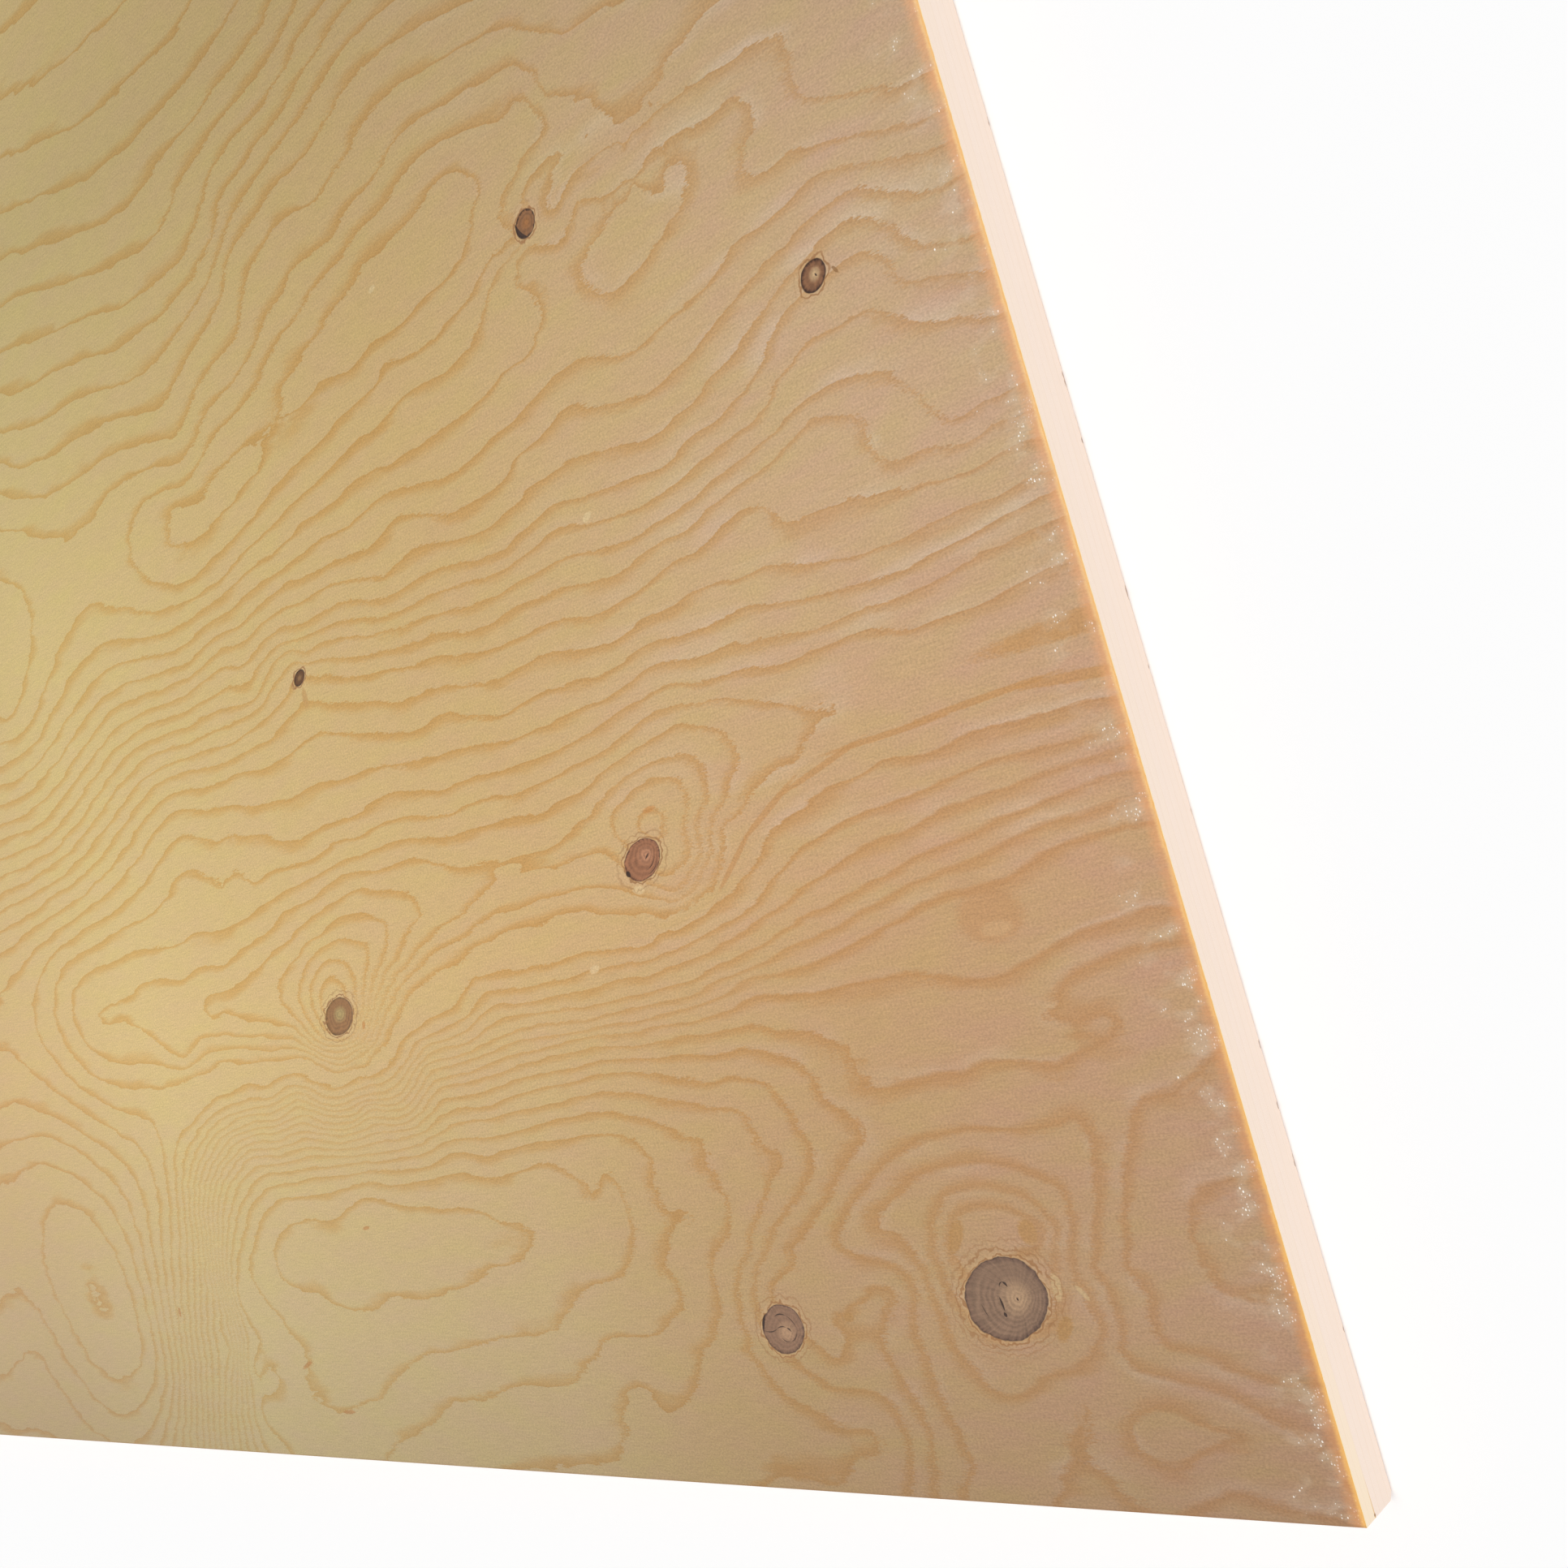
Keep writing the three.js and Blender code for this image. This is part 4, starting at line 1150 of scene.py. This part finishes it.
def sawn_edge(name, along):
    """The finish of two opposite edges, which run along the X or the Y axis."""
    finish = bpy.data.materials.new(name)
    finish.use_nodes = True
    tree = finish.node_tree
    shader = tree.nodes["Principled BSDF"]
    apart = add(tree, "SeparateXYZ", {0: from_corner(tree)}).node.outputs
    depth = add(tree, "Math", {0: apart[2], 1: -1.0}, operation="MULTIPLY")
    run = apart["XY".index(along)]
    flat = add(tree, "CombineXYZ", {0: run, 1: depth})

    # Plies 1 and 4, counted from 0, run crosswise
    layer = add(tree, "Math", {0: depth, 1: 1 / ply}, operation="MULTIPLY")
    layer_whole = add(tree, "Math", {0: layer}, operation="FLOOR")
    turn = add(tree, "Math", {0: layer_whole, 1: 3.0}, operation="MODULO")
    ends = add(tree, "Math", {0: turn, 1: 1.0, 2: 0.2}, operation="COMPARE")
    if along == "Y":
        ends = add(tree, "Math", {0: 1.0, 1: ends}, operation="SUBTRACT")

    # Each pattern, with its size in mm along the edge and through the board
    cuts = {}
    for kind, run_mm, depth_mm in (
        ("ends", fibre_end, fibre_end),
        ("fibres", 14.0, 0.3),
        ("rings", 90.0, 1.3),
        ("saw", saw_pitch, 40.0),
    ):
        drawn = add(tree, "VectorMath", {0: flat, 1: (1 / run_mm, 1 / depth_mm, 0)}, operation="MULTIPLY")
        cuts[kind] = add(tree, "TexNoise", {0: drawn, 2: 1.0, 3: 2.0, 4: 0.6}, noise_dimensions="2D")
    grain = add(tree, "Mix", {0: ends, 2: cuts["fibres"], 3: cuts["ends"]})

    layer_tone = add(tree, "TexWhiteNoise", {1: layer_whole}, noise_dimensions="1D")
    tone = add(tree, "MapRange", {0: layer_tone, 1: 0, 2: 1, 3: 0.46, 4: 0.54})
    tone = add(tree, "Math", {0: grain, 1: 0.5, 2: tone}, operation="MULTIPLY_ADD")
    tone = add(tree, "Math", {0: cuts["rings"], 1: 0.4, 2: tone}, operation="MULTIPLY_ADD")
    tone = add(tree, "MapRange", {0: tone, 1: 0.6, 2: 1.3, 3: 1, 4: 0})
    # Very pale: the cut wood's own colour, with bright light painted in
    wood = add(tree, "Mix", {0: tone, 6: linear("#f1e0d3"), 7: linear("#eedbcc")}, **in_colour)
    top_plies = add(tree, "MapRange", {0: depth, 1: opened_line - 0.3, 2: opened_line + 0.3, 3: 1, 4: 0})
    by_corner = add(tree, "MapRange", {0: run, 1: 0, 2: 70, 3: 0.8, 4: 0.1}) if along == "Y" else 0.1
    yellow = add(tree, "Math", {0: top_plies, 1: by_corner}, operation="MULTIPLY")
    wood = add(tree, "Mix", {0: yellow, 6: wood, 7: linear("#f2dfc2")}, **in_colour)

    # Glue lines, all but invisible, and none at the two faces
    to_line = add(tree, "Math", {0: layer, 1: 0.5}, operation="ADD")
    to_line = add(tree, "Math", {0: to_line}, operation="FRACT")
    to_line = add(tree, "Math", {0: to_line, 1: 0.5}, operation="SUBTRACT")
    to_line = add(tree, "Math", {0: to_line}, operation="ABSOLUTE")
    line = add(tree, "MapRange", {0: to_line, 1: 0.3 * glue_line / ply, 2: glue_line / ply, 3: 0.45, 4: 0})
    within = add(tree, "Math", {0: layer, 1: 3.0, 2: 2.6}, operation="COMPARE")
    line = add(tree, "Math", {0: line, 1: within}, operation="MULTIPLY")
    line = add(tree, "Math", {0: line, 1: cuts["fibres"]}, operation="MULTIPLY")
    wood = add(tree, "Mix", {0: line, 6: wood, 7: linear("#d9b98f")}, **in_colour)

    if along == "Y":
        # The line that has opened, with a dark spot where it reaches the corner
        gape = add(tree, "MapRange", {0: run, 1: 0, 2: opened_length, 3: opened_width, 4: 0})
        off = add(tree, "Math", {0: depth, 1: opened_line}, operation="SUBTRACT")
        off = add(tree, "Math", {0: off}, operation="ABSOLUTE")
        crack = add(tree, "Math", {0: gape, 1: off}, operation="SUBTRACT")
        crack = add(tree, "MapRange", {0: crack, 1: 0, 2: 0.12, 3: 0, 4: 0.85})
        wood = add(tree, "Mix", {0: crack, 6: wood, 7: linear("#dcb478")}, **in_colour)
        spot = add(tree, "VectorMath", {0: flat, 1: opened_spot}, out=1, operation="DISTANCE")
        spot = add(tree, "MapRange", {0: spot, 1: 0.25, 2: 0.6, 3: 0.8, 4: 0})
        wood = add(tree, "Mix", {0: spot, 6: wood, 7: linear("#8a5c34")}, **in_colour)

    # The arrises: the face's is thin and brown on the side, and on the end thin and pale yellow,
    #     # a painted glow of light through the broken arris; the back's is tan, with short dark splinters
    face_line, face_reach = ("#f5dfa6", 0.9) if along == "Y" else ("#96603c", 0.7)
    at_face = add(tree, "MapRange", {0: depth, 1: 0.4, 2: face_reach, 3: 0.8, 4: 0}, **smoothly)
    wood = add(tree, "Mix", {0: at_face, 6: wood, 7: linear(face_line)}, **in_colour)
    splinter = add(tree, "VectorMath", {0: flat, 1: (1 / splinter_pitch, 0, 0)}, operation="MULTIPLY")
    splinter = add(tree, "TexNoise", {0: splinter, 2: 1.0, 3: 2.0, 4: 0.6}, noise_dimensions="2D")
    split = add(tree, "MapRange", {0: splinter, 1: 0.62, 2: 0.68, 3: 0, 4: 1})
    back_reach = add(tree, "MapRange", {0: split, 1: 0, 2: 1, 3: thickness - 0.5, 4: thickness - 0.9})
    at_back = add(tree, "Math", {0: depth, 1: back_reach}, operation="SUBTRACT")
    at_back = add(tree, "MapRange", {0: at_back, 1: 0, 2: 0.2, 3: 0, 4: 0.7})
    back_line = add(tree, "Mix", {0: split, 6: linear("#d8b48c"), 7: linear("#7a4a2e")}, **in_colour)
    wood = add(tree, "Mix", {0: at_back, 6: wood, 7: back_line}, **in_colour)
    tree.links.new(wood, shader.inputs["Base Color"])

    relief = add(tree, "Math", {0: cuts["saw"], 1: 0.8, 2: grain}, operation="MULTIPLY_ADD")
    rough = add(tree, "Bump", {0: 0.4, 1: saw_depth * MM, 3: relief})
    tree.links.new(rough, shader.inputs["Normal"])
    shader.inputs["Roughness"].default_value = sawn_roughness
    shader.inputs["Specular IOR Level"].default_value = 0.2
    return finish


for finish in (good_face, back_face, sawn_edge("sawn_end_edge", "Y"), sawn_edge("sawn_side_edge", "X")):
    sheet_mesh.materials.append(finish)
for face in sheet_mesh.polygons:
    if abs(face.normal.z) > 0.5:
        face.material_index = 0 if face.normal.z > 0 else 1
    else:
        face.material_index = 2 if abs(face.normal.x) > abs(face.normal.y) else 3


# ---------------------------------------------------------------------------------------
# The studio: a white floor that the sheet lies on, even light from all round and one broad
# soft lamp, and a camera low over the near corner that looks along the sheet.

floor_size = 60.0  # m
sky_strength = 0.62
lamp_strength = 1.5
lamp_spread = 35.0  # degrees that the lamp fills, its tilt from straight above, and its turn
lamp_tilt = 38.0
lamp_turn = 60.0

stage = bmesh.new()
bmesh.ops.create_grid(stage, x_segments=1, y_segments=1, size=floor_size / 2)
floor_mesh = bpy.data.meshes.new("studio_floor")
stage.to_mesh(floor_mesh)
stage.free()
floor = bpy.data.objects.new("studio_floor", floor_mesh)
bpy.context.scene.collection.objects.link(floor)

# White paint that only shows from above, so the sheet's back can be looked at from below
floor_paint = bpy.data.materials.new("white_studio_floor")
floor_paint.use_nodes = True
tree = floor_paint.node_tree
shader = tree.nodes["Principled BSDF"]
shader.inputs["Base Color"].default_value = linear("#fdfdfd")
shader.inputs["Roughness"].default_value = 0.9
shader.inputs["Specular IOR Level"].default_value = 0.0
underside = add(tree, "NewGeometry", out="Backfacing")
clear = add(tree, "BsdfTransparent")
both = add(tree, "MixShader", {0: underside, 1: shader.outputs[0], 2: clear})
tree.links.new(both, tree.nodes["Material Output"].inputs["Surface"])
floor_mesh.materials.append(floor_paint)

world = bpy.data.worlds.new("studio_light")
bpy.context.scene.world = world
world.use_nodes = True
tree = world.node_tree
light = tree.nodes["Background"]
light.inputs["Color"].default_value = linear("#ffffff")
light.inputs["Strength"].default_value = sky_strength
paths = add(tree, "LightPath").node
seen = paths.outputs["Is Camera Ray"]
for kind in ("Is Glossy Ray", "Is Transmission Ray"):
    seen = add(tree, "Math", {0: seen, 1: paths.outputs[kind]}, operation="MAXIMUM")
backdrop = add(tree, "Background", {0: linear("#ffffff"), 1: 1.0})
both = add(tree, "MixShader", {0: seen, 1: light.outputs[0], 2: backdrop})
tree.links.new(both, tree.nodes["World Output"].inputs["Surface"])

lamp = bpy.data.lights.new("soft_key", "SUN")
lamp.energy = lamp_strength
lamp.angle = math.radians(lamp_spread)
key = bpy.data.objects.new("soft_key", lamp)
key.rotation_euler = (math.radians(lamp_tilt), 0.0, math.radians(lamp_turn))
bpy.context.scene.collection.objects.link(key)

eye = (265.9, 233.9, 427.0)  # mm from the near corner: past the end, over the sheet, and up
tilt = 42.54  # degrees from straight down, towards the far end
roll = -106.39  # degrees that it is turned about the way it looks
lens = 42.65  # mm, on the usual 36 mm film

view = bpy.data.cameras.new("view_over_near_corner")
view.lens = lens
view.clip_start = 0.01
camera = bpy.data.objects.new("view_over_near_corner", view)
camera.location = near + MM * Vector(eye)
facing = Matrix.Rotation(math.radians(90.0), 4, "Z") @ Matrix.Rotation(math.radians(tilt), 4, "X")
camera.rotation_euler = (facing @ Matrix.Rotation(math.radians(roll), 4, "Z")).to_euler()
bpy.context.scene.collection.objects.link(camera)
bpy.context.scene.camera = camera
bpy.context.scene.view_settings.view_transform = "Standard"
